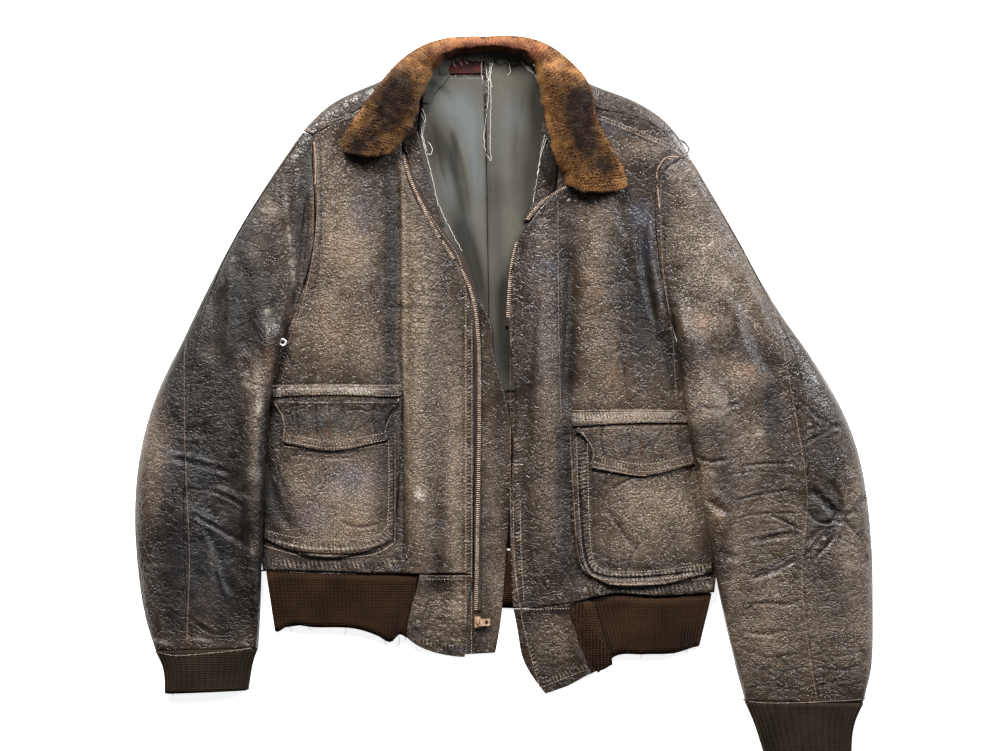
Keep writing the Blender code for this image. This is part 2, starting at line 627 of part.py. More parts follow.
def turned(name, profile, at, base, steps, made_of, laid=True):
    """A body turned round an upright axis from a profile of (radius, height)."""
    bm = bmesh.new()
    points = [bm.verts.new(((at[0] + r) * MM, at[1] * MM, (base + z) * MM)) for r, z in profile]
    closed = profile[0][0] > 0
    pairs = list(zip(points, points[1:] + points[:1] if closed else points[1:]))
    edges = [bm.edges.new(pair) for pair in pairs]
    bmesh.ops.spin(
        bm, geom=points + edges, cent=(at[0] * MM, at[1] * MM, 0), axis=(0, 0, 1), angle=math.tau,
        steps=steps, use_merge=True,
    )
    bmesh.ops.remove_doubles(bm, verts=bm.verts, dist=0.01 * MM)
    face_out(bm)
    mesh = bpy.data.meshes.new(name)
    bm.to_mesh(mesh)
    bm.free()
    if laid:
        r, top = max(p[0] for p in profile), base + max(p[1] for p in profile)
        square = [[(at[0] + sx * r, at[1] + sy * r, top) for sx in (-1, 1)] for sy in (-1, 1)]
        pile.add(np.array(square, float))
    return object_from(name, mesh, made_of)


def pockets():
    pocket(
        "right",
        left=[(-272, -158), (-277, -70), (-276, 4)], right=[(-126, -160), (-119, -93), (-115, 4)],
        top=[(-276, 4), (-195, 6), (-115, 4)], bottom=[(-272, -158), (-237, -174), (-165, -176), (-126, -160)],
        welt_drop=-12, flap_left=[(-262, -2), (-250, -20), (-252, -48)],
        flap_right=[(-118, -2), (-134, -24), (-130, -45)], point=(-196, -58), button_at=(-196, -34),
    )
    pocket(
        "left",
        left=[(92, -196), (83, -140), (80, -30)], right=[(240, -196), (246, -110), (238, -26)],
        top=[(80, -30), (150, -26), (238, -26)], bottom=[(92, -196), (120, -210), (190, -209), (240, -196)],
        welt_drop=-13, flap_left=[(82, -33), (102, -52), (102, -78)],
        flap_right=[(212, -29), (218, -52), (220, -73)], point=(162, -86), button_at=(160, -58),
    )


def sleeve_plan(sections, rows, around):
    """Plan points of a flat sleeve's rings, each running from the outer edge over the top and back below."""
    outer = smooth([s[0] for s in sections], rows)
    inner_at = np.array([s[1] for s in sections], float)
    knots = np.linspace(0, 1, len(sections))
    outer_knots = np.array([np.abs(outer - np.array(s[0])).sum(axis=1).argmin() for s in sections]) / (rows - 1)
    at = np.linspace(0, 1, rows)
    spread = np.interp(at, outer_knots, knots)
    inner = np.stack([np.interp(spread, knots, inner_at[:, k]) for k in (0, 1)], axis=1)
    loft = np.interp(spread, knots, [s[2] for s in sections])
    across = (1 - np.cos(math.tau * around)) / 2
    return outer[:, None] + (inner - outer)[:, None] * across[..., None], loft[:, None], across


def sleeve_net(sections, folds, rows, around, armhole, body_height, shoulder_tip, pit):
    """Inner face of a flat sleeve. around holds, for each row, the fractions of the way round."""
    plan, loft, across = sleeve_plan(sections, rows, around)
    swell = np.abs(np.sin(math.tau * around))
    top = (around % 1) <= 0.5
    under = pile.under(plan, 17)
    floor = softened(np.where(under > 0, under + LAY_GAP, 0), 2) + LEATHER
    rise = SLEEVE_EDGE + (loft - SLEEVE_EDGE) * swell**0.62
    rise = rise + folded(plan, folds) * fade(swell * 1.6)
    sink = SLEEVE_EDGE * (1 - np.clip(swell * 2.2, 0, 1)) ** 1.6
    height = floor + np.where(top, np.maximum(rise, SLEEVE_EDGE * 0.6 + 1.2), sink)
    near = (1 - fade(np.linspace(0, 1, rows) / 0.16))[:, None]
    seam = np.concatenate([[shoulder_tip], armhole[:0:-1], [pit]])
    step = np.concatenate([[0], np.cumsum(np.linalg.norm(np.diff(seam, axis=0), axis=1))])
    step /= step[-1]
    for corner in step[1:-1]:
        nearest = 1 + np.abs(across[0, 1:-1] - corner).argmin()
        if abs(across[0, nearest] - corner) < 0.07:
            across[:, nearest] = np.where(near[:, 0] > 0, corner, across[:, nearest])
    on_seam = np.stack([np.interp(across, step, seam[:, k]) for k in (0, 1)], axis=-1)
    over = body_height(on_seam)
    seam_height = np.where(top, LEATHER + (over - LEATHER) * np.clip(swell * 2.4, 0, 1) ** 0.5, LEATHER)
    seam_height = np.where(swell < 0.02, LEATHER + (over - LEATHER) / 2, seam_height)
    plan = plan * (1 - near[..., None]) + on_seam * near[..., None]
    height = height * (1 - near) + seam_height * near
    return with_height(plan, height)


def rounds(seam, rows):
    """Fractions round the sleeve for its two panels, row by row. Both folded edges get points of their own."""
    top_seam = np.interp(np.linspace(0, 1, rows), [s[0] for s in seam], [s[1] for s in seam])[:, None]
    whole = np.ones_like(top_seam)
    over = top_seam + (0.5 - top_seam) * np.linspace(0, 1, 12)
    front = np.concatenate([over, whole * np.linspace(0.5, UNDER_SEAM, 6)[1:]], axis=1)
    back = np.concatenate([whole * np.linspace(UNDER_SEAM, 1, 7), 1 + top_seam * np.linspace(0, 1, 4)[1:]], axis=1)
    return front, back


def sleeve(name, sections, folds, top_seam, armhole, body_height, tip, pit):
    """A two-piece sleeve: the front panel covers the inner edge, the back panel the outer edge and elbow."""
    rows = 17
    nets = [
        sleeve_net(sections, folds, rows, around, armhole, body_height, tip, pit)
        for around in rounds(top_seam, rows)
    ]
    middle = np.concatenate(nets, axis=1).mean(axis=1)
    for panel, grid in zip(("front", "back"), nets):
        grid = inset(grid, SEAM_GAP, ("left", "right", "top"))
        grid = inset(grid, 4 * SEAM_GAP, ("bottom",))
        towards = grid - middle[:, None]
        seams = ("bottom", "top", "left", "right")
        wall(f"sleeve_{name}_{panel}", grid, LEATHER, leather(), towards=towards, seams=seams)


def cuff(name, sections):
    """A ribbed knit cuff, flattened like the sleeve it ends."""
    rows, columns = 4, CUFF_RIBS + CUFF_UNDER
    over = np.linspace(0.01, 0.49, CUFF_RIBS)
    under = np.linspace(0.51, 0.99, CUFF_UNDER)
    around = np.broadcast_to(np.concatenate([over, under]), (rows, columns))
    plan, loft, across = sleeve_plan(sections, rows, around)
    swell = np.abs(np.sin(math.tau * around))
    rise = SLEEVE_EDGE + (loft - SLEEVE_EDGE) * swell**0.6
    sink = SLEEVE_EDGE * (1 - np.clip(swell * 2.2, 0, 1)) ** 1.6
    height = KNIT + np.where(around < 0.5, rise, sink)
    raised = np.zeros(columns)
    raised[2 : CUFF_RIBS - 2 : 2] = RIB_RISE
    grid = inset(with_height(plan, height), SEAM_GAP, ("bottom",))
    lift = KNIT + np.broadcast_to(raised, grid.shape[:2])
    towards = grid - grid.mean(axis=1, keepdims=True)
    wall(f"cuff_{name}", grid, lift, knit(), wrapped=True, towards=towards, seams=("bottom",))


def collar():
    """A collar leaf of fur, stood up from the neckline and folded over outwards."""
    stations = 32
    inner, outer = smooth(COLLAR_INNER, stations), smooth(COLLAR_OUTER, stations)
    back = np.exp(-(((inner[:, 0] + 22) / 52) ** 4)) * fade((inner[:, 1] - 330) / 50)
    tall = COLLAR_SIDE_HEIGHT + (COLLAR_BACK_HEIGHT - COLLAR_SIDE_HEIGHT) * back
    section = [
        (0.03, 0.05), (0.0, 0.3), (0.0, 0.6), (0.07, 0.86), (0.2, 1.0), (0.42, 0.97), (0.68, 0.8), (0.88, 0.62),
        (1.0, 0.47),
    ]
    along = np.gradient((inner + outer) / 2, axis=0)
    along /= np.linalg.norm(along, axis=1, keepdims=True)
    ends = np.zeros(stations)
    ends[:2], ends[-2:] = (1.0, 0.3), (-0.3, -1.0)
    rows = []
    for out, up in section:
        corner = np.clip((abs(2 * out - 1) - 0.5) / 0.5, 0, 1) ** 2
        plan = inner + (outer - inner) * out + along * (9 * corner * ends)[:, None]
        under = softened(pile.under(plan, 9)[None], 3)[0]
        neck = softened(pile.under(inner + (outer - inner) * 0.12, 9)[None], 3)[0]
        base = neck * (1 - out) + under * out
        least = under + LAY_GAP + (FUR + 0.6) * (out > 0.1)
        rows.append(with_height(plan, np.maximum(base + tall * up, least)))
    outside = np.stack(rows, axis=0)
    inside = outside - outward(outside, False, UP) * FUR
    floor = np.stack([pile.under(inside[k, :, :2], 6) for k in range(len(section))])
    inside[..., 2] = np.maximum(inside[..., 2], floor + LAY_GAP)
    shell("fur_collar", inside, outside, material("fur", FUR_BROWN, 1.0))


def shell(name, inside, outside, made_of):
    """A closed wall between two given nets."""
    rows, columns = inside.shape[:2]
    bm = bmesh.new()
    low, high = [[[bm.verts.new(p * MM) for p in row] for row in layer] for layer in (inside, outside)]
    for r in range(rows - 1):
        for c in range(columns - 1):
            for layer in (low, high):
                bm.faces.new((layer[r][c], layer[r][c + 1], layer[r + 1][c + 1], layer[r + 1][c]))
    for c in range(columns - 1):
        for r in (0, rows - 1):
            bm.faces.new((low[r][c], low[r][c + 1], high[r][c + 1], high[r][c]))
    for r in range(rows - 1):
        for c in (0, columns - 1):
            bm.faces.new((low[r][c], low[r + 1][c], high[r + 1][c], high[r][c]))
    face_out(bm)
    mesh = bpy.data.meshes.new(name)
    bm.to_mesh(mesh)
    bm.free()
    pile.add(inside)
    pile.add(outside)
    return object_from(name, mesh, made_of)


def eyelet():
    """The one underarm eyelet that shows, a turned ring."""
    profile = [(2.2, 0.0), (4.6, 0.0), (4.6, 0.6), (3.6, 1.3), (2.4, 1.0)]
    at = (-250, 66)
    base = pile.under(np.array([at], float), 4.6)[0] + LAY_GAP
    turned("eyelet_right", profile, at, base, 20, material("steel", (0.7, 0.7, 0.7), 0.35, 1.0))


SLIDER_AT = (-28.0, -255.0)
SLIDER_SIZE = (7.0, 13.0, 3.0)
AXIS_ABOVE_SLIDER = 2.8
LUG_RADIUS = 1.9
LUG_HOLE = 1.15
LUG_THICK = 2.0
PULL_LENGTH = 15.0
PULL_WIDTH = 8.0
PULL_THICK = 1.1
PULL_DROOP = math.radians(18)


def block(bm, low, high):
    """A box between two corners, added to a bmesh."""
    size = [b - a for a, b in zip(low, high)]
    made = bmesh.ops.create_cube(bm, size=1)["verts"]
    for v in made:
        v.co = Vector([(a + (c + 0.5) * s) * MM for a, c, s in zip(low, v.co, size)])
    return made


def cut(body, name, low, high):
    """Cuts a box-shaped opening out of a body."""
    bm = bmesh.new()
    block(bm, low, high)
    mesh = bpy.data.meshes.new(name)
    bm.to_mesh(mesh)
    bm.free()
    subtract(body, bpy.data.objects.new(name, mesh))


def subtract(body, cutter, operation="DIFFERENCE"):
    bpy.context.collection.objects.link(cutter)
    cutter.hide_render = True
    cutter.display_type = "WIRE"
    modifier = body.modifiers.new(cutter.name, "BOOLEAN")
    modifier.operation = operation
    modifier.solver = "EXACT"
    modifier.object = cutter


def cylinder_along_y(name, radius, centre, length, sides=16):
    bm = bmesh.new()
    bmesh.ops.create_cone(
        bm, cap_ends=True, segments=sides, radius1=radius * MM, radius2=radius * MM, depth=length * MM
    )
    mesh = bpy.data.meshes.new(name)
    bm.to_mesh(mesh)
    bm.free()
    made = bpy.data.objects.new(name, mesh)
    made.rotation_euler = (math.pi / 2, 0, 0)
    made.location = [c * MM for c in centre]
    return made


def slider_and_pull():
    """The zip's slider, with the pull tab hinged on its lug along Y and lying over to the left."""
    brass = material("brass", BRASS, 0.35, 1.0)
    x, y = SLIDER_AT
    width, length, thick = SLIDER_SIZE
    steps = (-0.5, 0, 0.5)
    footprint = np.array([(x + a * width, y + b * length) for a in steps for b in steps])
    base = pile.under(footprint, 2).max() + LAY_GAP
    axis_z = base + thick + AXIS_ABOVE_SLIDER
    bm = bmesh.new()
    block(bm, (x - width / 2, y - length / 2, base), (x + width / 2, y + length / 2, base + thick))
    bmesh.ops.bevel(bm, geom=bm.edges, offset=0.6 * MM, segments=2, affect="EDGES")
    mesh = bpy.data.meshes.new("zip_slider")
    bm.to_mesh(mesh)
    bm.free()
    slider = object_from("zip_slider", mesh, brass)
    subtract(slider, cylinder_along_y("lug_round", LUG_RADIUS, (x, y, axis_z), LUG_THICK, 20), "UNION")
    bm = bmesh.new()
    lug_foot = (x - LUG_RADIUS, y - LUG_THICK / 2, base + thick - 1)
    block(bm, lug_foot, (x + LUG_RADIUS, y + LUG_THICK / 2, axis_z))
    mesh = bpy.data.meshes.new("lug_foot")
    bm.to_mesh(mesh)
    bm.free()
    subtract(slider, bpy.data.objects.new("lug_foot", mesh), "UNION")
    subtract(slider, cylinder_along_y("lug_hole", LUG_HOLE, (x, y, axis_z), 3 * LUG_THICK))
    bm = bmesh.new()
    half = PULL_THICK / 2
    block(bm, (-half, -PULL_WIDTH / 2, -half), (PULL_LENGTH, PULL_WIDTH / 2, half))
    mesh = bpy.data.meshes.new("pull_tab")
    bm.to_mesh(mesh)
    bm.free()
    pull = object_from("pull_tab", mesh, brass)
    eye = LUG_THICK / 2 + 0.5
    cut(pull, "pull_eye", (half, -eye, -2), (LUG_RADIUS + 0.7, eye, 2))
    cut(pull, "pull_slot", (9.0, -2.2, -2), (12.6, 2.2, 2))
    for made in (pull, bpy.data.objects["pull_eye"], bpy.data.objects["pull_slot"]):
        made.rotation_euler = (0, PULL_DROOP, 0)
        made.location = (x * MM, y * MM, axis_z * MM)
    return axis_z


def centre_on_origin():
    """Puts the middle of the jacket's plan over the origin."""
    bpy.context.view_layer.update()
    graph = bpy.context.evaluated_depsgraph_get()
    shown = [o for o in bpy.context.scene.objects if not o.hide_render]
    corners = [o.matrix_world @ Vector(c) for o in shown for c in o.evaluated_get(graph).bound_box]
    middle = [(min(c[k] for c in corners) + max(c[k] for c in corners)) / 2 for k in (0, 1)]
    for o in bpy.context.scene.objects:
        o.location.x -= middle[0]
        o.location.y -= middle[1]
    return middle


def build():
    for o in list(bpy.data.objects):
        bpy.data.objects.remove(o)
    back_panel()
    back_lining()
    neck_strip()
    waistband()
    facings()
    zip_pieces()
    front_panels()
    shoulder("shoulder_right", RIGHT_SHOULDER_SEAM, RIGHT_SHOULDER_FOLD, right_front_height)
    shoulder("shoulder_left", LEFT_SHOULDER_SEAM, LEFT_SHOULDER_FOLD, left_front_height)
    waist_tabs()
    pockets()
    sleeve(
        "right", RIGHT_SLEEVE, RIGHT_SLEEVE_FOLDS, RIGHT_TOP_SEAM,
        side_and_armhole(RIGHT_SIDE, RIGHT_ARMHOLE)[SIDE_ROWS - 1:], right_front_height,
        RIGHT_SHOULDER_FOLD[0], RIGHT_PIT,
    )
    sleeve(
        "left", LEFT_SLEEVE, LEFT_SLEEVE_FOLDS, LEFT_TOP_SEAM,
        side_and_armhole(LEFT_SIDE, LEFT_ARMHOLE)[SIDE_ROWS - 1:], left_front_height,
        LEFT_SHOULDER_FOLD[0], LEFT_PIT,
    )
    cuff("right", RIGHT_CUFF)
    cuff("left", LEFT_CUFF)
    collar()
    eyelet()
    axis_z = slider_and_pull()
    middle = centre_on_origin()
    x, y = [a - m / MM for a, m in zip(SLIDER_AT, middle)]
    print("pull axis at", round(x, 3), round(y, 3), round(axis_z, 3))


build()
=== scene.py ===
# Worn leather flying jacket, laid open on a pale floor and seen from straight above.
# Places are given in picture points, as (across, down), and spots() turns them into metres.

import math

import bmesh
import bpy
import numpy as np
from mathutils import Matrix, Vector
from mathutils.bvhtree import BVHTree


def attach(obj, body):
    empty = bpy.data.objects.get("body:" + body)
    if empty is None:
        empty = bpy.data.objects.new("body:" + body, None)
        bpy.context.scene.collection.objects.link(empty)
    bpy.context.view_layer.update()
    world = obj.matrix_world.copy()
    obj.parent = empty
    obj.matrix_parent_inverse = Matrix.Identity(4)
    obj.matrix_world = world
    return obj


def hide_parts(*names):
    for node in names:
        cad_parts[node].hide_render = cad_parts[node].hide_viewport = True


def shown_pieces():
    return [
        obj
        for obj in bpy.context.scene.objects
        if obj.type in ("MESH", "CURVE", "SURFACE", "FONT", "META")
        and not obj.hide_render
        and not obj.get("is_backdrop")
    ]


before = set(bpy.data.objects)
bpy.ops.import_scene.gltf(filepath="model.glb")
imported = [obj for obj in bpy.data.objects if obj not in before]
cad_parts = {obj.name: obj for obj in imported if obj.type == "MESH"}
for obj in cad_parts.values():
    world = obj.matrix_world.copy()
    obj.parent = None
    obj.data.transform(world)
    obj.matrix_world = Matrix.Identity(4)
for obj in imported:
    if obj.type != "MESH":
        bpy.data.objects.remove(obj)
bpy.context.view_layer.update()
mm = 0.001
pointSize = 1.15 * mm  # metres of jacket for each point of the picture
pictureMiddle = (502, 400)  # the point of the picture that the frame's centre lies near
middleShift = (-1.992 * mm, -0.834 * mm)  # where that point lies in the frame
floorGap = 0.1 * mm  # no cloth lies lower than this
seenSlope = 0.12  # a face is seen from above when its normal rises more than this


def spots(line):
    line = np.atleast_2d(np.array(line, float))
    across = (line[:, 0] - pictureMiddle[0]) * pointSize + middleShift[0]
    up = (pictureMiddle[1] - line[:, 1]) * pointSize + middleShift[1]
    return np.stack([across, up], axis=1)


def makeActive(piece):
    bpy.ops.object.select_all(action="DESELECT")
    piece.select_set(True)
    bpy.context.view_layer.objects.active = piece


def linked(name, data):
    piece = bpy.data.objects.new(name, data)
    bpy.context.scene.collection.objects.link(piece)
    return piece


def dress(piece, look):
    piece.data.materials.clear()
    piece.data.materials.append(look)


def storeValues(mesh, name, values):
    layer = mesh.attributes.new(name, "FLOAT", "POINT")
    layer.data.foreach_set("value", values.astype(np.float32))


def pointsOf(mesh, what="co"):
    flat = np.empty(len(mesh.vertices) * 3)
    mesh.vertices.foreach_get(what, flat)
    return flat.reshape(-1, 3)


def setPoints(mesh, points):
    mesh.vertices.foreach_set("co", np.ascontiguousarray(points, dtype=np.float32).ravel())
    mesh.update()


def ease(t):
    t = np.clip(t, 0, 1)
    return t * t * (3 - 2 * t)


# Hills and hollows of soft cloth

def waves(plan, size, seed):
    # Smooth random hills of about that size, from -1 to 1
    turns = np.random.default_rng(seed).uniform(0, math.tau, 4096)
    cell = plan / (size * mm)
    low = np.floor(cell).astype(int)
    part = cell - low
    curve = part**3 * (part * (part * 6 - 15) + 10)

    def corner(dx, dy):
        angle = turns[((low[:, 0] + dx) * 73 + (low[:, 1] + dy) * 1789) % 4096]
        return np.cos(angle) * (part[:, 0] - dx) + np.sin(angle) * (part[:, 1] - dy)

    lower = corner(0, 0) * (1 - curve[:, 0]) + corner(1, 0) * curve[:, 0]
    upper = corner(0, 1) * (1 - curve[:, 0]) + corner(1, 1) * curve[:, 0]
    return (lower * (1 - curve[:, 1]) + upper * curve[:, 1]) * 1.5


def thinLines(plan, size, seed, power):
    # 1 on fine wandering lines and near 0 between them
    return (1 - np.abs(waves(plan, size, seed))) ** power


def rounded(path, times=2):
    for _ in range(times):
        early = path[:-1] * 0.75 + path[1:] * 0.25
        late = path[:-1] * 0.25 + path[1:] * 0.75
        middle = np.concatenate([early, late], axis=1).reshape(-1, 2)
        path = np.concatenate([path[:1], middle, path[-1:]])
    return path


def closeTo(plan, path, reach):
    # Numbers of the plan points in the box round the path, widened by reach
    return np.flatnonzero(((plan > path.min(0) - reach) & (plan < path.max(0) + reach)).all(axis=1))


def fadeEnds(value, along, length, speed):
    # Lets a value die away towards both ends of its line
    return value * ease(along / length * speed) * ease((length - along) / length * speed)


def neighbourMean(values, pairs):
    # Mean of the values at each point's neighbours, where pairs are the edges of the mesh
    total = np.zeros_like(values)
    np.add.at(total, pairs[:, 0], values[pairs[:, 1]])
    np.add.at(total, pairs[:, 1], values[pairs[:, 0]])
    count = np.maximum(np.bincount(pairs.ravel(), minlength=len(values)), 1)
    return total / (count if values.ndim == 1 else count[:, None])


def fromLine(plan, path):
    # How far plan points lie to the line's own left (+) or right (-), and how far along it
    steps = np.diff(path, axis=0)
    lengths = np.linalg.norm(steps, axis=1)
    start = np.concatenate([[0], np.cumsum(lengths)])
    best = np.full(len(plan), 1e9)
    away = np.zeros(len(plan))
    along = np.zeros(len(plan))
    for k, d in enumerate(steps):
        if lengths[k] == 0:
            continue
        off = plan - path[k]
        t = np.clip(off @ d / lengths[k] ** 2, 0, 1)
        rest = off - t[:, None] * d
        far = np.linalg.norm(rest, axis=1)
        side = np.where(d[0] * off[:, 1] - d[1] * off[:, 0] >= 0, 1, -1)
        nearer = far < best
        best = np.where(nearer, far, best)
        away = np.where(nearer, far * side, away)
        along = np.where(nearer, start[k] + t * lengths[k], along)
    return away, along, start[-1]


def eachCrease(creases):
    # A crease is (rise, reach right of its line, reach left of it, points), in mm. One reach stands for both
    for rise, right, *left, line in creases:
        yield rise, right, left[0] if left else right, line


def creased(plan, creases):
    # Lift of plan points in metres
    lift = np.zeros(len(plan))
    for rise, right, left, line in eachCrease(creases):
        path = rounded(spots(line))
        reach = 3.2 * max(left, right) * mm
        near = closeTo(plan, path, reach)
        if not len(near):
            continue
        away, along, length = fromLine(plan[near], path)
        t = away / (np.where(away < 0, right, left) * mm)
        shape = np.exp(-t * t)
        if rise < 0:
            shape -= 0.3 * np.exp(-((np.abs(t) - 2) ** 2))
        lift[near] += fadeEnds(1.25 * rise * mm * shape, along, length, 6)
    return lift


def patched(plan, patches):
    # Soft ellipses. A patch is (strength, across, down, half width, half height), or with a turn in degrees
    total = np.zeros(len(plan))
    for strength, x, y, wide, high, *turn in patches:
        off = plan - spots([(x, y)])[0]
        a = math.radians(turn[0] if turn else 0)
        u = (off[:, 0] * math.cos(a) + off[:, 1] * math.sin(a)) / (wide * pointSize)
        v = (off[:, 1] * math.cos(a) - off[:, 0] * math.sin(a)) / (high * pointSize)
        total += strength * np.exp(-(u * u + v * v))
    return total


# Creases of the two fronts, shared by what is sewn on them
bodyCreases = [
    # right front: the hard fold beside the zip strip, and the cracks across the strip
    (-3.2, 5.0, 1.6, [(399, 158), (400, 230), (400, 300), (401, 360), (402, 396)]),
    (-1.6, 3.0, [(402, 394), (404, 470), (404, 570)]),
    (1.2, 5.0, 6.0, [(412, 150), (414, 260), (414, 400), (416, 560)]),
    (-0.5, 1.3, [(402, 212), (420, 209), (437, 213)]), (-0.5, 1.3, [(402, 254), (425, 251), (438, 256)]),
    (-0.4, 1.2, [(402, 273), (440, 271)]), (-0.9, 1.4, [(380, 309), (410, 307), (430, 308), (447, 310)]),
    (-0.4, 1.2, [(402, 335), (440, 334)]), (-0.4, 1.2, [(402, 355), (438, 354)]),
    (-0.5, 1.3, [(405, 418), (424, 415), (442, 416)]), (-0.5, 1.3, [(405, 451), (422, 448), (436, 446)]),
    (-0.7, 1.6, [(430, 538), (437, 553), (442, 570)]), (-0.5, 1.4, [(416, 520), (430, 528), (447, 526)]),
    (-0.4, 1.2, [(318, 250), (345, 252), (372, 249)]), (-0.4, 1.2, [(322, 268), (350, 270), (380, 267)]),
    (-0.5, 1.4, [(316, 277), (345, 280), (378, 276)]), (-1.0, 6.0, [(362, 160), (362, 200), (368, 240)]),
    (-0.9, 7.0, [(336, 180), (330, 230), (326, 300)]), (0.9, 8.0, [(348, 190), (352, 260), (356, 340)]),
    (-0.8, 2.4, 4.0, [(320, 120), (323, 200), (320, 270), (308, 320)]),
    (-1.4, 3.0, 5.0, [(296, 330), (284, 352), (278, 378)]),
    # the flaps' upright wrinkles, right and left
    (-0.9, 1.4, [(299, 400), (296, 414), (301, 436)]), (-0.7, 1.2, [(318, 402), (316, 420), (319, 436)]),
    (-0.8, 1.3, [(330.5, 404), (330.5, 441)]), (0.7, 1.6, [(308, 402), (307, 420), (310, 436)]),
    (-0.8, 1.3, [(344, 404), (341, 420), (344, 436)]), (-1.0, 1.6, [(378, 400), (372, 418), (376, 434)]),
    (0.7, 1.6, [(385, 400), (380, 416), (384, 430)]), (-0.6, 1.2, [(346, 412), (358, 408), (372, 413)]),
    (-0.9, 1.4, [(602, 424), (600, 440), (604, 458)]), (-0.8, 1.3, [(640.5, 426), (640.5, 466)]),
    (-0.7, 1.3, [(626, 427), (629, 442), (626, 458)]), (-0.9, 1.4, [(664, 428), (654, 442), (650, 456)]),
    (0.7, 1.6, [(612, 428), (613, 444), (616, 460)]), (-0.7, 1.3, [(679, 428), (676, 444), (682, 456)]),
    # left front: the placket strip and its soft valleys
    (-0.9, 1.0, [(557, 195), (557, 268), (558, 310), (559, 366), (562, 424)]),
    (-3.0, 4.5, 7.0, [(572, 250), (569, 300), (566, 370), (565, 424)]),
    (-2.2, 6.0, 5.0, [(539, 270), (532, 330), (528, 400), (526, 470)]),
    (-0.5, 1.2, [(534, 269), (546, 267), (557, 268)]), (-0.4, 1.2, [(534, 221), (557, 219)]),
    (-0.4, 1.2, [(528, 284), (557, 282)]), (-0.5, 1.2, [(526, 321), (545, 319), (557, 320)]),
    (-0.7, 1.1, 1.6, [(619, 270), (620, 310), (622, 350), (626, 396)]),
    (-0.5, 1.2, [(582, 287), (600, 284), (618, 285)]), (-0.4, 1.2, [(582, 301), (600, 299), (618, 300)]),
    (-0.6, 1.3, [(583, 320), (600, 322), (619, 321)]),
    (-2.2, 6.0, 5.0, [(668, 150), (650, 200), (640, 230)]),
    (-2.4, 4.0, 5.0, [(641, 218), (640, 250), (648, 290), (656, 330)]),
    (2.0, 4.0, [(650, 215), (648, 250), (656, 300), (662, 340)]),
    (-1.2, 7.0, [(616, 190), (622, 215), (626, 240)]), (-1.8, 8.0, [(660, 330), (668, 365), (680, 400)]),
    (-1.5, 5.0, 7.0, [(540, 430), (538, 500), (540, 570)]),
    (-1.2, 4.0, 6.0, [(526, 470), (525, 540), (530, 600)]),
    (-0.8, 1.6, [(533, 545), (542, 566), (556, 590)]), (-0.7, 1.6, [(540, 575), (548, 592), (560, 600)]),
]
rightPocketCreases = [
    (-0.8, 2.5, [(276, 470), (290, 496), (288, 530)]),
    (-1.3, 6.0, 5.0, [(268, 450), (272, 490), (290, 530)]),
    (-0.5, 1.6, [(300, 455), (330, 459), (360, 456)]), (-0.6, 2.0, [(340, 520), (360, 528), (382, 522)]),
    (-1.6, 1.4, [(262, 541), (300, 553), (345, 555), (380, 551), (394, 538)]),
    (-1.4, 1.4, [(394, 430), (395, 480), (394, 538)]),
    (1.0, 1.6, [(264, 537), (300, 548), (345, 550), (378, 546), (390, 535)]),
]
leftPocketCreases = [
    (-1.0, 3.0, 3.5, [(606, 505), (620, 528), (636, 552)]), (-0.7, 1.4, [(610, 488), (632, 477)]),
    (-0.8, 1.6, [(640, 540), (630, 555), (626, 572)]), (-0.5, 1.4, [(676, 532), (668, 546), (660, 556)]),
    (0.8, 2.4, [(632, 530), (640, 550), (650, 568)]),
    (-1.5, 1.4, [(577, 437), (579, 500), (584, 565), (600, 577), (650, 577), (708, 569)]),
    (1.1, 1.6, [(573, 437), (575, 510), (581, 570), (598, 583), (650, 584), (710, 576)]),
]
rightSleeveCreases = [
    (1.0, 1.4, [(166, 452), (187, 455), (206, 460), (228, 466)]),
    (-1.3, 2.0, 4.0, [(170, 458), (190, 462), (214, 468), (236, 474)]),
    (0.8, 1.3, [(190, 506), (206, 515), (226, 527)]),
    (-1.0, 2.0, 4.0, [(192, 512), (208, 521), (226, 532), (258, 550)]),
    (0.8, 1.3, [(200, 521), (212, 545), (220, 570), (226, 590), (238, 611)]),
    (-1.2, 3.0, 5.0, [(206, 524), (218, 548), (226, 572), (234, 596)]),
    (0.7, 1.2, [(212, 486), (232, 492), (250, 504)]), (-0.7, 1.4, 2.6, [(210, 490), (230, 497), (248, 509)]),
    (0.7, 1.2, [(193, 612), (204, 622), (220, 630)]), (-0.7, 1.4, 2.4, [(191, 617), (204, 628), (220, 636)]),
    (-0.5, 1.0, 1.2, [(150, 570), (172, 566), (190, 566)]),
    (-0.5, 1.0, 1.2, [(190, 437), (206, 437), (223, 438)]),
    (-0.5, 1.0, 1.2, [(188, 487), (197, 489), (212, 490)]), (0.5, 1.0, [(236, 575), (248, 568), (258, 566)]),
    (-0.6, 1.2, 1.6, [(160, 490), (176, 500), (188, 506)]), (0.6, 1.2, [(170, 486), (180, 492), (190, 505)]),
    (1.6, 4.0, [(258, 400), (261, 480), (259, 560), (256, 640)]),
    (-1.6, 6.0, [(244, 420), (246, 480), (242, 560)]), (-2.0, 9.0, [(210, 250), (216, 300), (214, 370)]),
    (-1.5, 8.0, [(240, 250), (250, 300), (246, 360)]), (1.6, 7.0, [(228, 250), (234, 300), (230, 370)]),
    (-1.5, 7.0, [(208, 420), (214, 470), (206, 520)]), (-1.2, 6.0, [(200, 560), (204, 600), (200, 640)]),
    (1.2, 6.0, [(224, 550), (228, 600), (226, 640)]),
    (2.0, 3.0, [(299, 165), (294, 215), (290, 260), (287, 305), (281, 330)]),
    (-3.0, 2.5, 4.0, [(309, 190), (305, 235), (300, 280), (293, 318)]),
    (1.2, 1.4, [(306, 225), (301, 260), (299, 290)]), (-0.4, 1.0, [(206, 410), (222, 414), (240, 408)]),
    (-0.4, 1.0, [(236, 330), (252, 322), (266, 316)]),
]
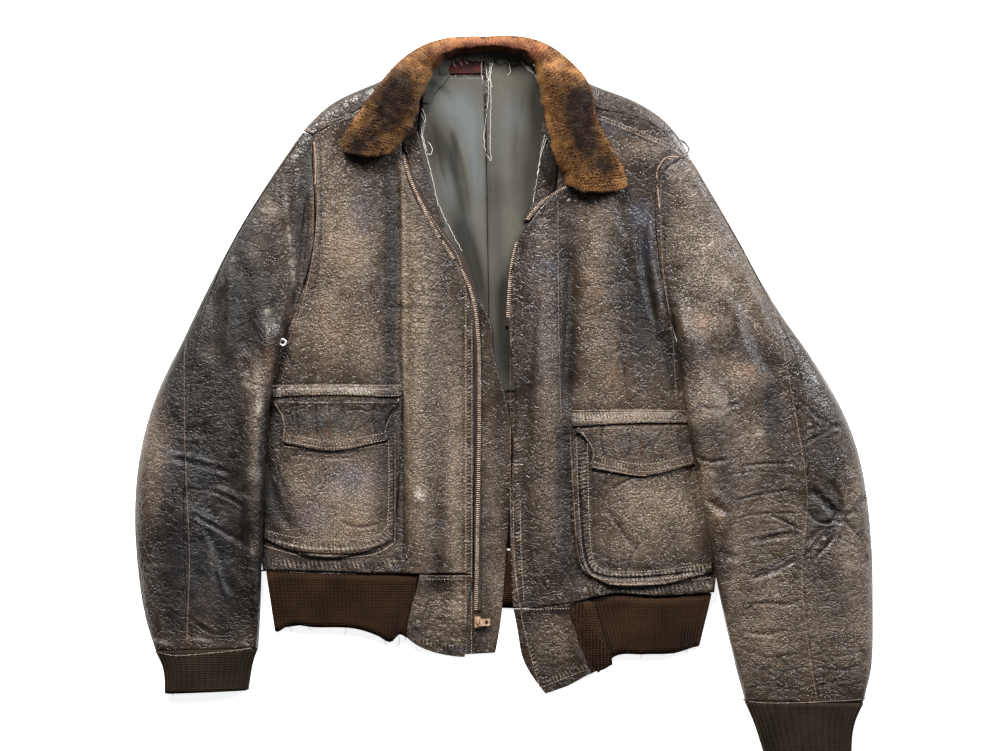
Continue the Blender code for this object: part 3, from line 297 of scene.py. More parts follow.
leftSleeveCreases = [
    (1.8, 1.8, [(840, 517), (822, 528), (806, 545), (799, 556)]),
    (-1.6, 1.6, [(836, 520), (816, 524), (804, 508)]),
    (-1.0, 1.2, 1.4, [(800, 400), (816, 420), (840, 426), (852, 420)]),
    (1.0, 1.6, [(802, 408), (818, 428), (842, 432)]), (-0.8, 1.2, 1.4, [(832, 536), (850, 542), (870, 560)]),
    (-0.7, 1.0, 1.2, [(746, 574), (770, 566), (798, 548)]),
    (-0.7, 1.0, 1.2, [(726, 520), (752, 512), (802, 512)]),
    (-0.6, 1.0, 1.2, [(720, 474), (760, 470), (798, 474)]),
    (-0.7, 1.0, 1.2, [(752, 546), (776, 530), (800, 538)]),
    (-0.6, 1.0, 1.2, [(756, 540), (768, 552), (790, 566)]),
    (-3.0, 6.0, 3.0, [(808, 487), (822, 500), (840, 517)]),
    (-3.2, 3.0, 6.0, [(808, 547), (822, 532), (840, 517)]), (2.2, 2.4, [(802, 550), (818, 536), (838, 520)]),
    (-1.8, 3.0, [(828, 478), (836, 498), (840, 517)]), (-1.6, 2.6, [(840, 517), (854, 510), (866, 492)]),
    (-1.5, 2.4, [(840, 517), (852, 530), (868, 544)]), (-1.4, 2.4, [(838, 519), (830, 540), (806, 562)]),
    (-1.2, 2.0, [(797, 446), (818, 434), (838, 424)]), (-1.0, 2.0, [(804, 430), (824, 425), (846, 428)]),
    (-1.5, 2.4, 2.8, [(743, 541), (770, 537), (800, 532)]),
    (-1.4, 2.4, 2.8, [(747, 578), (770, 572), (797, 557)]),
    (-1.0, 1.8, [(767, 513), (784, 521), (800, 530)]), (-0.9, 1.6, [(730, 500), (756, 494), (790, 488)]),
    (-0.8, 1.6, [(736, 466), (764, 462), (796, 464)]),
    (-1.0, 1.4, 1.8, [(733, 644), (752, 652), (773, 658), (804, 648)]),
    (-0.7, 1.1, 1.4, [(742, 668), (760, 663), (782, 671), (806, 664)]),
    (-0.6, 1.0, 1.2, [(744, 656), (766, 670), (784, 684)]),
    (-0.6, 1.0, 1.2, [(762, 640), (776, 656), (804, 676)]),
    (-0.9, 1.3, 1.6, [(808, 650), (836, 655), (868, 648)]),
    (-0.7, 1.1, 1.3, [(810, 664), (838, 670), (866, 660)]),
    (-0.8, 1.2, 1.4, [(812, 686), (840, 677), (866, 683)]),
    (-0.6, 1.0, 1.2, [(742, 689), (766, 682), (804, 691)]),
    (-0.6, 1.0, 1.2, [(816, 640), (840, 634), (866, 639)]),
    (-1.0, 2.2, [(740, 610), (758, 600), (786, 604), (800, 596)]),
    (-1.0, 2.2, [(738, 628), (760, 634), (786, 628)]), (1.6, 5.0, [(712, 470), (706, 486), (716, 500)]),
    (1.6, 5.0, [(712, 512), (722, 530), (730, 548)]), (-1.8, 4.0, [(706, 498), (716, 507), (726, 509)]),
    (-1.8, 4.0, [(716, 548), (726, 556), (738, 556)]), (-1.0, 2.0, [(690, 404), (716, 410), (740, 402)]),
    (-1.5, 6.0, 8.0, [(722, 262), (738, 300), (752, 340), (770, 384)]),
    (1.4, 6.0, [(738, 262), (756, 300), (772, 344)]), (-1.0, 2.2, [(690, 452), (706, 462), (728, 458)]),
]


# Sewn bands that have shrunk into puckers: (half width and rise and pitch in mm, line)
sewnBands = [
    (5.0, 0.7, 3.6, [(276, 392), (330, 393), (400, 391)]),
    (3.0, 0.6, 3.4, [(289, 440), (310, 443), (331, 446), (360, 442), (385, 437)]),
    (6.0, 1.0, 4.8, [(266, 535), (300, 546), (345, 548), (376, 544), (390, 531)]),
    (2.6, 0.5, 4.4, [(392, 440), (392, 480), (391, 525)]),
    (4.5, 0.8, 5.2, [(264, 561), (300, 565), (345, 565), (394, 563)]),
    (2.2, 0.4, 4.4, [(469, 300), (469, 400), (469, 500), (469, 650)]),
    (4.4, 0.6, 3.6, [(574, 416), (630, 416), (684, 417)]),
    (3.2, 0.6, 3.4, [(595, 459), (618, 465), (642, 471), (668, 466), (690, 460)]),
    (5.5, 0.9, 4.8, [(580, 442), (582, 500), (585, 556), (598, 573), (650, 576), (706, 568)]),
    (4.5, 0.8, 5.2, [(586, 589), (620, 591), (660, 590), (708, 584)]),
    (3.0, 0.4, 4.6, [(516, 440), (518, 520), (522, 600)]),
    (3.0, 0.6, 4.4, [(528, 640), (540, 684), (562, 676), (588, 664)]),
    (3.0, 0.6, 4.4, [(420, 640), (450, 648), (480, 646)]),
    (2.4, 0.4, 4.2, [(400, 578), (430, 579), (464, 580)]),
    (2.4, 0.4, 4.2, [(526, 608), (548, 607), (570, 606)]),
    (2.6, 0.5, 4.2, [(594, 118), (620, 128), (650, 140), (682, 154)]),
]


def puckered(plan, bands):
    # Lift in metres, and how much of each point is a rubbed top or a hollow
    lift = np.zeros(len(plan))
    tops = np.zeros(len(plan))
    hollows = np.zeros(len(plan))
    for half, rise, pitch, line in bands:
        path = rounded(spots(line))
        reach = 1.6 * half * mm
        near = closeTo(plan, path, reach)
        if not len(near):
            continue
        away, along, length = fromLine(plan[near], path)
        inside = np.exp(-((away / (half * mm)) ** 4))
        phase = along + 0.22 * away + 1.7 * mm * waves(plan[near], 12, 51)
        uneven = 0.65 + 0.5 * waves(plan[near], 14, 52)
        ridge = (0.5 + 0.5 * np.cos(math.tau * phase / (pitch * mm))) * uneven
        lift[near] += rise * mm * inside * (ridge - 0.25)
        rubbed = ease(0.75 + 0.6 * waves(plan[near], 26, 53))
        tops[near] = np.maximum(tops[near], inside * ease(ridge * 1.8 - 0.5) * rubbed)
        hollows[near] = np.maximum(hollows[near], inside * ease(1 - 1.6 * ridge))
    return lift, tops, hollows


def nearBands(plan, bands):
    close = np.zeros(len(plan), bool)
    for half, rise, pitch, line in bands:
        path = rounded(spots(line))
        reach = half * mm
        near = closeTo(plan, path, reach)
        if len(near):
            close[near] |= np.abs(fromLine(plan[near], path)[0]) < reach
    return close


bulges = [
    (2.2, 336, 500, 36, 30), (-1.2, 276, 470, 10, 50), (2.0, 648, 520, 36, 30), (1.6, 424, 300, 12, 120),
    (1.5, 350, 260, 22, 60), (1.5, 600, 320, 18, 70), (1.2, 548, 360, 8, 90), (1.5, 424, 500, 14, 60),
]


def bodyLift(plan):
    lift = creased(plan, bodyCreases) + patched(plan, bulges) * mm
    lift += 1.0 * mm * waves(plan, 62, 3) + 0.4 * mm * waves(plan, 21, 4)
    lift -= 0.22 * mm * thinLines(plan, 9, 5, 8) * ease(waves(plan, 45, 6) + 0.5)
    return lift + puckered(plan, sewnBands)[0]


def sleeveLift(plan):
    right = plan[:, 0] < 0
    lift = np.where(right, creased(plan, rightSleeveCreases), creased(plan, leftSleeveCreases))
    worked = patched(plan, [(1, 206, 500, 60, 110), (1, 800, 560, 90, 150)])
    lift += 1.2 * mm * waves(plan, 58, 13) + (0.4 + 0.6 * worked) * mm * waves(plan, 21, 14)
    lift -= (0.3 + 0.6 * worked) * mm * thinLines(plan, 13, 15, 7) * ease(waves(plan, 50, 16) + 0.7)
    return lift


def pocketLift(creases):
    return lambda plan: bodyLift(plan) + creased(plan, creases)


def tabLift(plan):
    crumple = 0.6 * mm * waves(plan, 12, 21) - 0.9 * mm * thinLines(plan, 11, 22, 5)
    crumple -= 0.6 * mm * thinLines(plan, 7, 23, 5)
    return bodyLift(plan) + crumple


# Wear, tone, and painted light and shade, as soft patches
# Tan rubbed wear, and painted sheen where the hide would catch the light
wearAndSheenPatches = [
    (0.45, 690, 205, 26, 46), (0.45, 716, 262, 34, 40, -30), (0.6, 745, 300, 20, 46, 35),
    (0.9, 700, 322, 18, 14), (0.8, 742, 372, 24, 12, -20), (0.5, 700, 400, 24, 24), (0.7, 702, 486, 10, 32),
    (0.6, 752, 432, 10, 10), (0.9, 356, 256, 22, 40), (0.6, 334, 334, 30, 34), (0.7, 336, 210, 16, 50),
    (0.55, 372, 350, 16, 30), (0.7, 404, 260, 5, 110), (0.4, 420, 210, 12, 40), (0.8, 424, 300, 13, 60),
    (0.5, 430, 420, 12, 60), (0.5, 426, 520, 10, 50), (0.6, 598, 350, 16, 56), (0.6, 596, 230, 16, 40),
    (0.5, 544, 300, 8, 60), (0.6, 330, 520, 34, 22), (0.6, 372, 490, 12, 30), (0.4, 640, 515, 36, 30),
    (0.5, 690, 520, 12, 30), (0.8, 156, 450, 12, 50), (0.8, 270, 211, 8, 12), (0.6, 256, 250, 8, 14),
    (0.9, 262, 378, 10, 10), (0.7, 258, 440, 5, 60), (0.4, 214, 355, 16, 16), (0.3, 206, 600, 24, 30),
    (0.5, 856, 494, 12, 40, -10), (0.45, 772, 520, 40, 30), (0.4, 780, 640, 50, 40), (0.6, 560, 640, 26, 24),
    (0.6, 436, 610, 24, 30), (0.5, 150, 400, 10, 60, -10), (0.7, 410, 340, 7, 120), (0.7, 416, 470, 8, 80),
    (0.65, 656, 505, 36, 30), (0.6, 346, 500, 30, 30), (0.6, 300, 480, 16, 20), (0.6, 460, 600, 8, 40),
    (0.6, 452, 500, 6, 80), (0.6, 734, 560, 8, 60), (0.6, 848, 560, 14, 30), (0.5, 744, 440, 24, 40),
    (0.6, 620, 420, 50, 5), (0.5, 612, 430, 30, 16), (0.5, 322, 160, 8, 40), (0.5, 760, 620, 24, 50),
    (0.4, 830, 620, 24, 40), (0.35, 490, 500, 14, 120), (0.5, 414, 340, 9, 130), (0.5, 416, 350, 12, 60),
    (0.3, 330, 270, 30, 60), (0.4, 656, 500, 24, 20), (0.4, 660, 440, 30, 16), (0.6, 460, 480, 8, 130),
    (0.25, 548, 480, 14, 90), (0.4, 600, 395, 40, 12), (0.25, 700, 380, 16, 40), (0.5, 350, 460, 34, 50),
    (0.6, 860, 620, 18, 50), (0.5, 628, 545, 30, 12), (0.5, 450, 400, 12, 80), (0.4, 550, 400, 10, 60),
    (0.4, 350, 540, 40, 20), (0.5, 498, 600, 10, 40), (0.7, 320, 392, 60, 4), (0.7, 630, 416, 60, 4),
    (0.6, 330, 546, 60, 8), (0.5, 650, 580, 56, 8), (0.5, 640, 468, 44, 6), (0.5, 336, 440, 44, 8),
    (0.4, 300, 300, 8, 40), (0.6, 650, 150, 30, 10),
]
scuffPatches = [
    (1.0, 690, 205, 26, 60), (0.9, 718, 262, 34, 46, -30), (0.7, 752, 320, 22, 60, 30),
    (0.6, 740, 400, 30, 40), (0.8, 858, 500, 18, 60, -8), (0.5, 790, 600, 60, 50), (0.5, 160, 460, 16, 60),
    (0.4, 250, 340, 16, 80),
]
acrossPatches = [
    (1.0, 422, 290, 20, 110), (0.8, 420, 440, 18, 30), (0.7, 350, 262, 30, 40), (0.8, 545, 270, 12, 70),
    (0.7, 600, 310, 18, 50), (0.7, 780, 600, 50, 110), (0.6, 200, 410, 40, 60), (0.6, 700, 290, 20, 40),
    (0.6, 650, 440, 40, 20), (0.6, 545, 580, 20, 60), (0.6, 436, 610, 24, 30), (0.8, 844, 640, 26, 60),
]
redPatches = [
    (0.9, 701, 323, 11, 9), (0.8, 742, 371, 18, 7, -20), (0.5, 270, 356, 6, 10), (0.5, 592, 290, 12, 26),
    (0.6, 190, 640, 5, 6), (0.6, 364, 525, 18, 6), (0.6, 716, 512, 7, 12), (0.5, 700, 470, 7, 12),
    (0.5, 350, 250, 20, 20), (0.4, 424, 240, 10, 30), (0.4, 610, 380, 20, 20), (0.3, 330, 320, 30, 30),
]
# Pale scuffs, and painted highlight streaks along the right sleeve's creases
paleScuffAndGlintPatches = [
    (0.9, 262, 384, 3, 6), (0.9, 254, 386, 8, 2, -20), (0.8, 262, 406, 3, 8), (0.9, 256, 470, 5, 4),
    (0.7, 232, 352, 3, 3), (0.5, 291, 240, 2, 60, 6), (0.7, 270, 312, 5, 3), (0.7, 230, 488, 20, 1.5, -22),
    (0.7, 214, 560, 3, 14, 10), (0.6, 192, 520, 8, 1.5, -30), (0.7, 255, 252, 5, 5),
    (0.6, 168, 565, 14, 1.2), (0.7, 160, 640, 12, 2, -10), (0.7, 248, 640, 6, 3),
    (0.6, 200, 638, 14, 1.5, -10), (0.7, 255, 550, 2, 8), (1.0, 420, 495, 5, 6), (0.7, 410, 466, 3, 10),
    (0.9, 360, 392, 14, 3), (1.0, 196, 456, 24, 1.3, -14), (0.9, 209, 517, 14, 1.3, -28),
    (0.8, 757, 432, 4, 3), (0.8, 249, 374, 4, 4), (0.8, 270, 210, 6, 3), (0.6, 688, 150, 14, 8),
    (0.7, 262, 400, 3, 30), (0.6, 260, 470, 3, 30), (0.6, 305, 130, 3, 8),
]
# Bluish tint, painted as sky light reflected from glossy parts and creases
blueSheenPatches = [
    (0.9, 352, 480, 24, 20), (0.6, 315, 515, 14, 20), (0.9, 640, 215, 12, 12), (0.9, 646, 246, 6, 30),
    (0.5, 366, 212, 12, 24), (0.8, 457, 649, 10, 4), (0.6, 545, 268, 14, 8), (0.9, 190, 456, 30, 5, -14),
    (0.8, 209, 517, 16, 4, -28), (0.6, 222, 575, 6, 30, 10), (0.5, 196, 470, 30, 20),
    (0.4, 546, 320, 14, 60), (0.5, 675, 150, 20, 20), (0.6, 206, 560, 30, 40), (0.4, 600, 130, 20, 10),
]
# Darker hide and painted shade: valleys beside folds, the armhole pleat, the gaps round pockets and flaps,
# and spots that dim glints
darkAndShadePatches = [
    (0.9, 391, 300, 7, 120), (0.9, 396, 480, 5, 80), (0.8, 566, 330, 5, 80), (0.8, 664, 350, 10, 40, 20),
    (0.4, 536, 560, 5, 40), (0.6, 640, 300, 8, 40), (0.7, 566, 500, 5, 90), (0.9, 266, 500, 6, 60),
    (0.8, 290, 516, 12, 20, 40), (0.4, 484, 470, 3, 130), (0.6, 750, 340, 10, 60, 20),
    (0.6, 770, 410, 10, 40, 10), (0.7, 222, 180, 6, 20, 40), (0.4, 620, 440, 60, 8),
    (1.0, 303, 250, 8, 45, 8), (1.0, 297, 300, 8, 24, 20), (0.8, 288, 330, 6, 20, 20),
    (0.7, 262, 330, 10, 30), (0.7, 240, 600, 20, 40), (0.6, 170, 540, 16, 60), (0.8, 222, 410, 24, 30),
    (0.5, 336, 424, 44, 10), (0.7, 560, 430, 8, 60), (0.3, 500, 450, 4, 80), (0.8, 200, 540, 40, 90),
    (0.7, 198, 430, 20, 50), (0.8, 268, 452, 8, 40), (0.7, 284, 486, 10, 16, 30), (0.8, 276, 396, 5, 12),
    (0.9, 395, 404, 5, 16, 20), (0.8, 576, 430, 5, 14), (0.8, 586, 446, 6, 14, -30), (0.7, 693, 440, 6, 18),
    (0.6, 812, 516, 8, 26), (0.6, 824, 500, 10, 12), (0.6, 820, 440, 14, 34), (0.5, 846, 590, 14, 40),
    (0.5, 776, 340, 6, 40, 20), (0.6, 648, 250, 8, 60, 5), (0.5, 618, 300, 4, 60),
    (0.9, 222, 240, 20, 70, 8), (0.9, 206, 370, 22, 60), (1.0, 224, 500, 26, 120), (0.6, 176, 590, 18, 60),
    (0.9, 276, 424, 10, 18), (0.9, 268, 490, 10, 40), (0.8, 262, 600, 8, 60), (0.5, 250, 300, 14, 60),
    (0.8, 662, 190, 7, 40, 10), (0.7, 680, 352, 12, 26), (0.8, 826, 516, 14, 20), (0.4, 820, 590, 16, 34),
    (0.35, 456, 340, 5, 120), (0.8, 308, 200, 6, 80), (0.3, 524, 400, 5, 100), (0.9, 392, 416, 7, 14),
    (0.8, 390, 230, 6, 80), (0.7, 572, 330, 6, 90), (0.7, 642, 330, 12, 60), (0.8, 382, 450, 10, 90),
    (0.3, 492, 520, 8, 100), (0.5, 500, 410, 6, 60), (0.6, 706, 430, 10, 14), (0.5, 762, 482, 24, 14),
    (0.4, 560, 500, 5, 70), (0.6, 530, 600, 8, 40), (0.2, 532, 370, 5, 60), (0.4, 590, 160, 30, 20),
    (0.2, 858, 420, 14, 70), (0.2, 700, 220, 24, 60), (0.25, 776, 306, 14, 40, 30), (0.45, 424, 205, 12, 30),
    (0.3, 752, 660, 20, 30), (0.5, 290, 392, 16, 8), (0.4, 826, 460, 14, 30), (0.3, 836, 600, 20, 40),
    (1.0, 367, 91, 12, 7, 30), (0.55, 225, 260, 130, 34, 62), (0.5, 160, 390, 16, 60, -10),
    (0.8, 432, 180, 70, 9, -69), (0.8, 552, 155, 10, 50), (0.5, 210, 400, 30, 120), (0.5, 255, 290, 20, 60),
    (0.5, 420, 205, 12, 30), (0.35, 730, 240, 90, 10, -58), (0.4, 852, 385, 12, 30, 20),
    (0.35, 296, 110, 24, 8, 40), (0.35, 636, 120, 50, 8, -28), (0.6, 366, 550, 16, 10),
    (0.5, 300, 560, 40, 8), (0.5, 650, 600, 60, 6), (0.6, 768, 420, 10, 40, -10), (0.6, 724, 470, 12, 50),
    (0.5, 320, 420, 40, 14), (0.5, 640, 440, 40, 14), (0.4, 340, 110, 24, 10, -30),
]
shadowLines = [
    (1.6, 0.9, [(556, 203), (538, 217), (526, 238), (519, 264), (515, 300), (513, 345)]),
    (1.8, 0.9, [(402, 300), (400, 330), (401, 360), (402, 396)]),
    (1.6, 0.8, [(301, 180), (309, 215), (305, 260), (297, 305)]),
    (1.3, 0.8, [
        (769, 290), (779, 320), (787, 364), (797, 420), (806, 472), (809, 508), (802, 556), (803, 604),
        (811, 660), (818, 697),
    ]),
    (1.5, 0.9, [(262, 549), (300, 558), (345, 559), (384, 556), (397, 543)]),
    (1.6, 0.9, [(397, 404), (398, 480), (397, 541)]),
    (1.6, 0.9, [(284, 448), (308, 451), (331, 454), (360, 451), (389, 446)]),
    (2.4, 1.0, [(274, 402), (285, 421), (281, 447)]), (2.4, 1.0, [(402, 400), (387, 430), (392, 445)]),
    (1.4, 0.8, [(272, 400), (340, 401), (402, 399)]), (1.2, 0.7, [(271, 383), (340, 383), (402, 383)]),
    (1.2, 0.8, [(263, 568), (300, 571), (345, 571), (395, 571)]),
    (1.0, 0.8, [(463, 292), (463, 400), (463, 652)]), (1.0, 0.8, [(474, 300), (474, 400), (473, 652)]),
    (1.2, 0.8, [(571, 409), (630, 408), (686, 409)]), (1.5, 0.9, [(571, 424), (630, 424), (688, 424)]),
    (2.4, 1.0, [(575, 427), (593, 450), (587, 467)]),
    (1.7, 0.9, [(588, 468), (615, 473), (642, 478), (668, 474), (696, 468)]),
    (2.0, 0.9, [(697, 468), (689, 441), (690, 426)]),
    (1.7, 0.9, [(568, 430), (571, 515), (576, 570), (597, 585), (650, 586), (712, 579)]),
    (1.2, 0.6, [(590, 440), (593, 500), (593, 552), (603, 566), (650, 567), (706, 558)]),
    (1.2, 0.8, [(572, 601), (640, 600), (712, 594)]), (1.1, 0.8, [(559.5, 200), (560, 300), (562, 420)]),
    (1.2, 0.9, [(594, 121), (620, 131), (650, 143), (682, 158)]),
    (1.2, 0.8, [(384, 108), (352, 121), (320, 131)]),
    (1.5, 0.9, [(663, 170), (663, 220), (664, 250), (667, 290), (675, 330), (679, 400)]),
    (1.0, 0.7, [(508, 340), (509, 480), (512, 600)]), (1.0, 0.7, [(524, 604), (548, 603), (570, 602)]),
    (1.0, 0.7, [(400, 574), (430, 575), (464, 576)]), (1.2, 0.8, [(330.5, 414), (330.5, 438)]),
    (1.2, 0.8, [(640.5, 436), (640.5, 462)]), (1.0, 0.6, [(525, 620), (534, 652), (544, 686)]),
    (1.2, 0.8, [(193, 340), (190, 358), (190, 432), (193, 505), (195, 548), (192, 640)]),
    (1.0, 0.8, [(316, 150), (318, 200), (314, 260)]),
]
liningBlue = [
    (1.0, 454, 106, 15, 15), (0.9, 470, 124, 13, 22), (0.8, 476, 168, 7, 36, 4), (0.7, 516, 116, 13, 17),
    (0.6, 450, 186, 7, 26), (0.5, 466, 228, 7, 16), (0.3, 500, 150, 8, 20),
]
# Painted shade in the lining's folds and in the gaps beside the fronts and the facings
liningShade = [
    (0.9, 432, 140, 10, 32), (0.8, 446, 152, 10, 26, 12), (0.8, 461, 196, 5, 40, 10),
    (0.9, 474, 262, 8, 34, 16), (1.0, 507, 352, 16, 46), (0.6, 506, 296, 12, 26), (0.9, 540, 110, 9, 70),
    (0.5, 455, 150, 4, 24), (0.8, 528, 190, 9, 60), (0.8, 489, 84, 2, 24), (0.9, 460, 236, 8, 30, 20),
    (0.8, 470, 66, 24, 3), (1.0, 511, 67, 5, 5), (0.5, 504, 300, 9, 60), (0.6, 489, 200, 2, 60),
    (0.6, 478, 290, 8, 50, 10), (0.5, 532, 100, 9, 30), (0.9, 438, 86, 12, 4, -30), (0.5, 496, 200, 6, 60),
    (0.4, 515, 150, 4, 50),
]


hidePatches = {
    "wearAndSheen": wearAndSheenPatches, "red": redPatches, "pale": paleScuffAndGlintPatches, "blue": blueSheenPatches, "dark": darkAndShadePatches,
    "scuffed": scuffPatches, "across": acrossPatches,
}


def shadeInCreases(plan, creases):
    # Painted shade in the hollow of creases and along the shadow lines, 0 to 1
    shade = np.zeros(len(plan))
    for rise, right, left, line in eachCrease(creases):
        if rise > -0.35 or min(right, left) > 3:
            continue
        path = rounded(spots(line))
        near = closeTo(plan, path, 6 * mm)
        if len(near):
            away, along, length = fromLine(plan[near], path)
            hollowShade = np.exp(-((away / (1.5 * mm)) ** 2)) * min(1, -rise / 0.7)
            shade[near] = np.maximum(shade[near], fadeEnds(hollowShade, along, length, 8))
    for half, strength, line in shadowLines if len(creases) else ():
        path = rounded(spots(line))
        near = closeTo(plan, path, 6 * mm)
        if len(near):
            away = fromLine(plan[near], path)[0] / (half * mm)
            shade[near] = np.maximum(shade[near], strength * np.exp(-(away**2)))
    return shade


# Stores the painted masks on a piece, painted shade among them; shaded scales the painted shade of the
# patches
def paint(piece, creases=(), bands=(), lining=False, shaded=1.0):
    plan = pointsOf(piece.data)[:, :2]
    kinds = {"blue": liningBlue, "dark": liningShade} if lining else hidePatches
    values = {kind: np.clip(patched(plan, patches), 0, 1) for kind, patches in kinds.items()}
    values["dark"] *= shaded
    if not lining:
        values["creaseShade"] = shadeInCreases(plan, creases)
        values["pucker"], hollows = puckered(plan, bands)[1:]
        # the hollows between puckers get painted shade too
        values["creaseShade"] = np.maximum(values["creaseShade"], 0.75 * hollows)
    for kind, value in values.items():
        storeValues(piece.data, kind, value)


# Materials

class Paint:
    # A node tree under construction

    def __init__(self, name):
        self.material = bpy.data.materials.new(name)
        self.material.use_nodes = True
        self.tree = self.material.node_tree
        self.shader = self.tree.nodes["Principled BSDF"]
        self.place = self.add("ShaderNodeTexCoord").outputs["Object"]

    def add(self, kind, inputs=None, **settings):
        made = self.tree.nodes.new(kind)
        for key, value in settings.items():
            setattr(made, key, value)
        for key, value in (inputs or {}).items():
            self.set(made.inputs[key], value)
        return made

    def set(self, socket, value):
        if isinstance(value, bpy.types.NodeSocket):
            self.tree.links.new(value, socket)
        else:
            socket.default_value = value

    def noise(self, scale, detail=2, rough=0.5, vector=None):
        inputs = {"Vector": vector or self.place, "Scale": scale, "Detail": detail, "Roughness": rough}
        return self.add("ShaderNodeTexNoise", inputs).outputs["Fac"]

    def math(self, operation, a, b=0.0, clamp=False):
        return self.add("ShaderNodeMath", {0: a, 1: b}, operation=operation, use_clamp=clamp).outputs[0]

    def times(self, a, b):
        return self.math("MULTIPLY", a, b)

    def plus(self, a, b, clamp=False):
        return self.math("ADD", a, b, clamp)

    def minus(self, a, b):
        return self.math("SUBTRACT", a, b)

    def larger(self, a, b, clamp=False):
        return self.math("MAXIMUM", a, b, clamp)

    def apart(self, a, b):
        return self.math("ABSOLUTE", self.minus(a, b))

    def cellEdge(self, vector, scale):
        inputs = {"Vector": vector, "Scale": scale}
        return self.add("ShaderNodeTexVoronoi", inputs, feature="DISTANCE_TO_EDGE").outputs["Distance"]

    def wave(self, scale, direction, **inputs):
        inputs = {"Vector": self.place, "Scale": scale, **inputs}
        return self.add("ShaderNodeTexWave", inputs, bands_direction=direction).outputs["Fac"]

    def step(self, value, low, high, to=(0.0, 1.0)):
        inputs = {"Value": value, "From Min": low, "From Max": high, "To Min": to[0], "To Max": to[1]}
        return self.add("ShaderNodeMapRange", inputs, interpolation_type="SMOOTHSTEP").outputs["Result"]

    def mix(self, share, a, b, blend="MIX"):
        made = self.add("ShaderNodeMix", data_type="RGBA", blend_type=blend)
        self.set(made.inputs[0], share)
        self.set(made.inputs[6], (*a, 1) if isinstance(a, tuple) else a)
        self.set(made.inputs[7], (*b, 1) if isinstance(b, tuple) else b)
        return made.outputs[2]

    def value(self, name):
        return self.add("ShaderNodeAttribute", attribute_name=name).outputs["Fac"]

    def colour(self, name):
        return self.add("ShaderNodeAttribute", attribute_name=name).outputs["Color"]

    def bump(self, height, distance, below=None):
        inputs = {"Height": height, "Distance": distance, "Strength": 1.0}
        if below:
            inputs["Normal"] = below
        return self.add("ShaderNodeBump", inputs).outputs["Normal"]

    def finish(self, **inputs):
        for key, value in inputs.items():
            self.set(self.shader.inputs[key.replace("_", " ")], value)
        return self.material


pebbleScale = 390.0  # pebbles of the hide in a metre


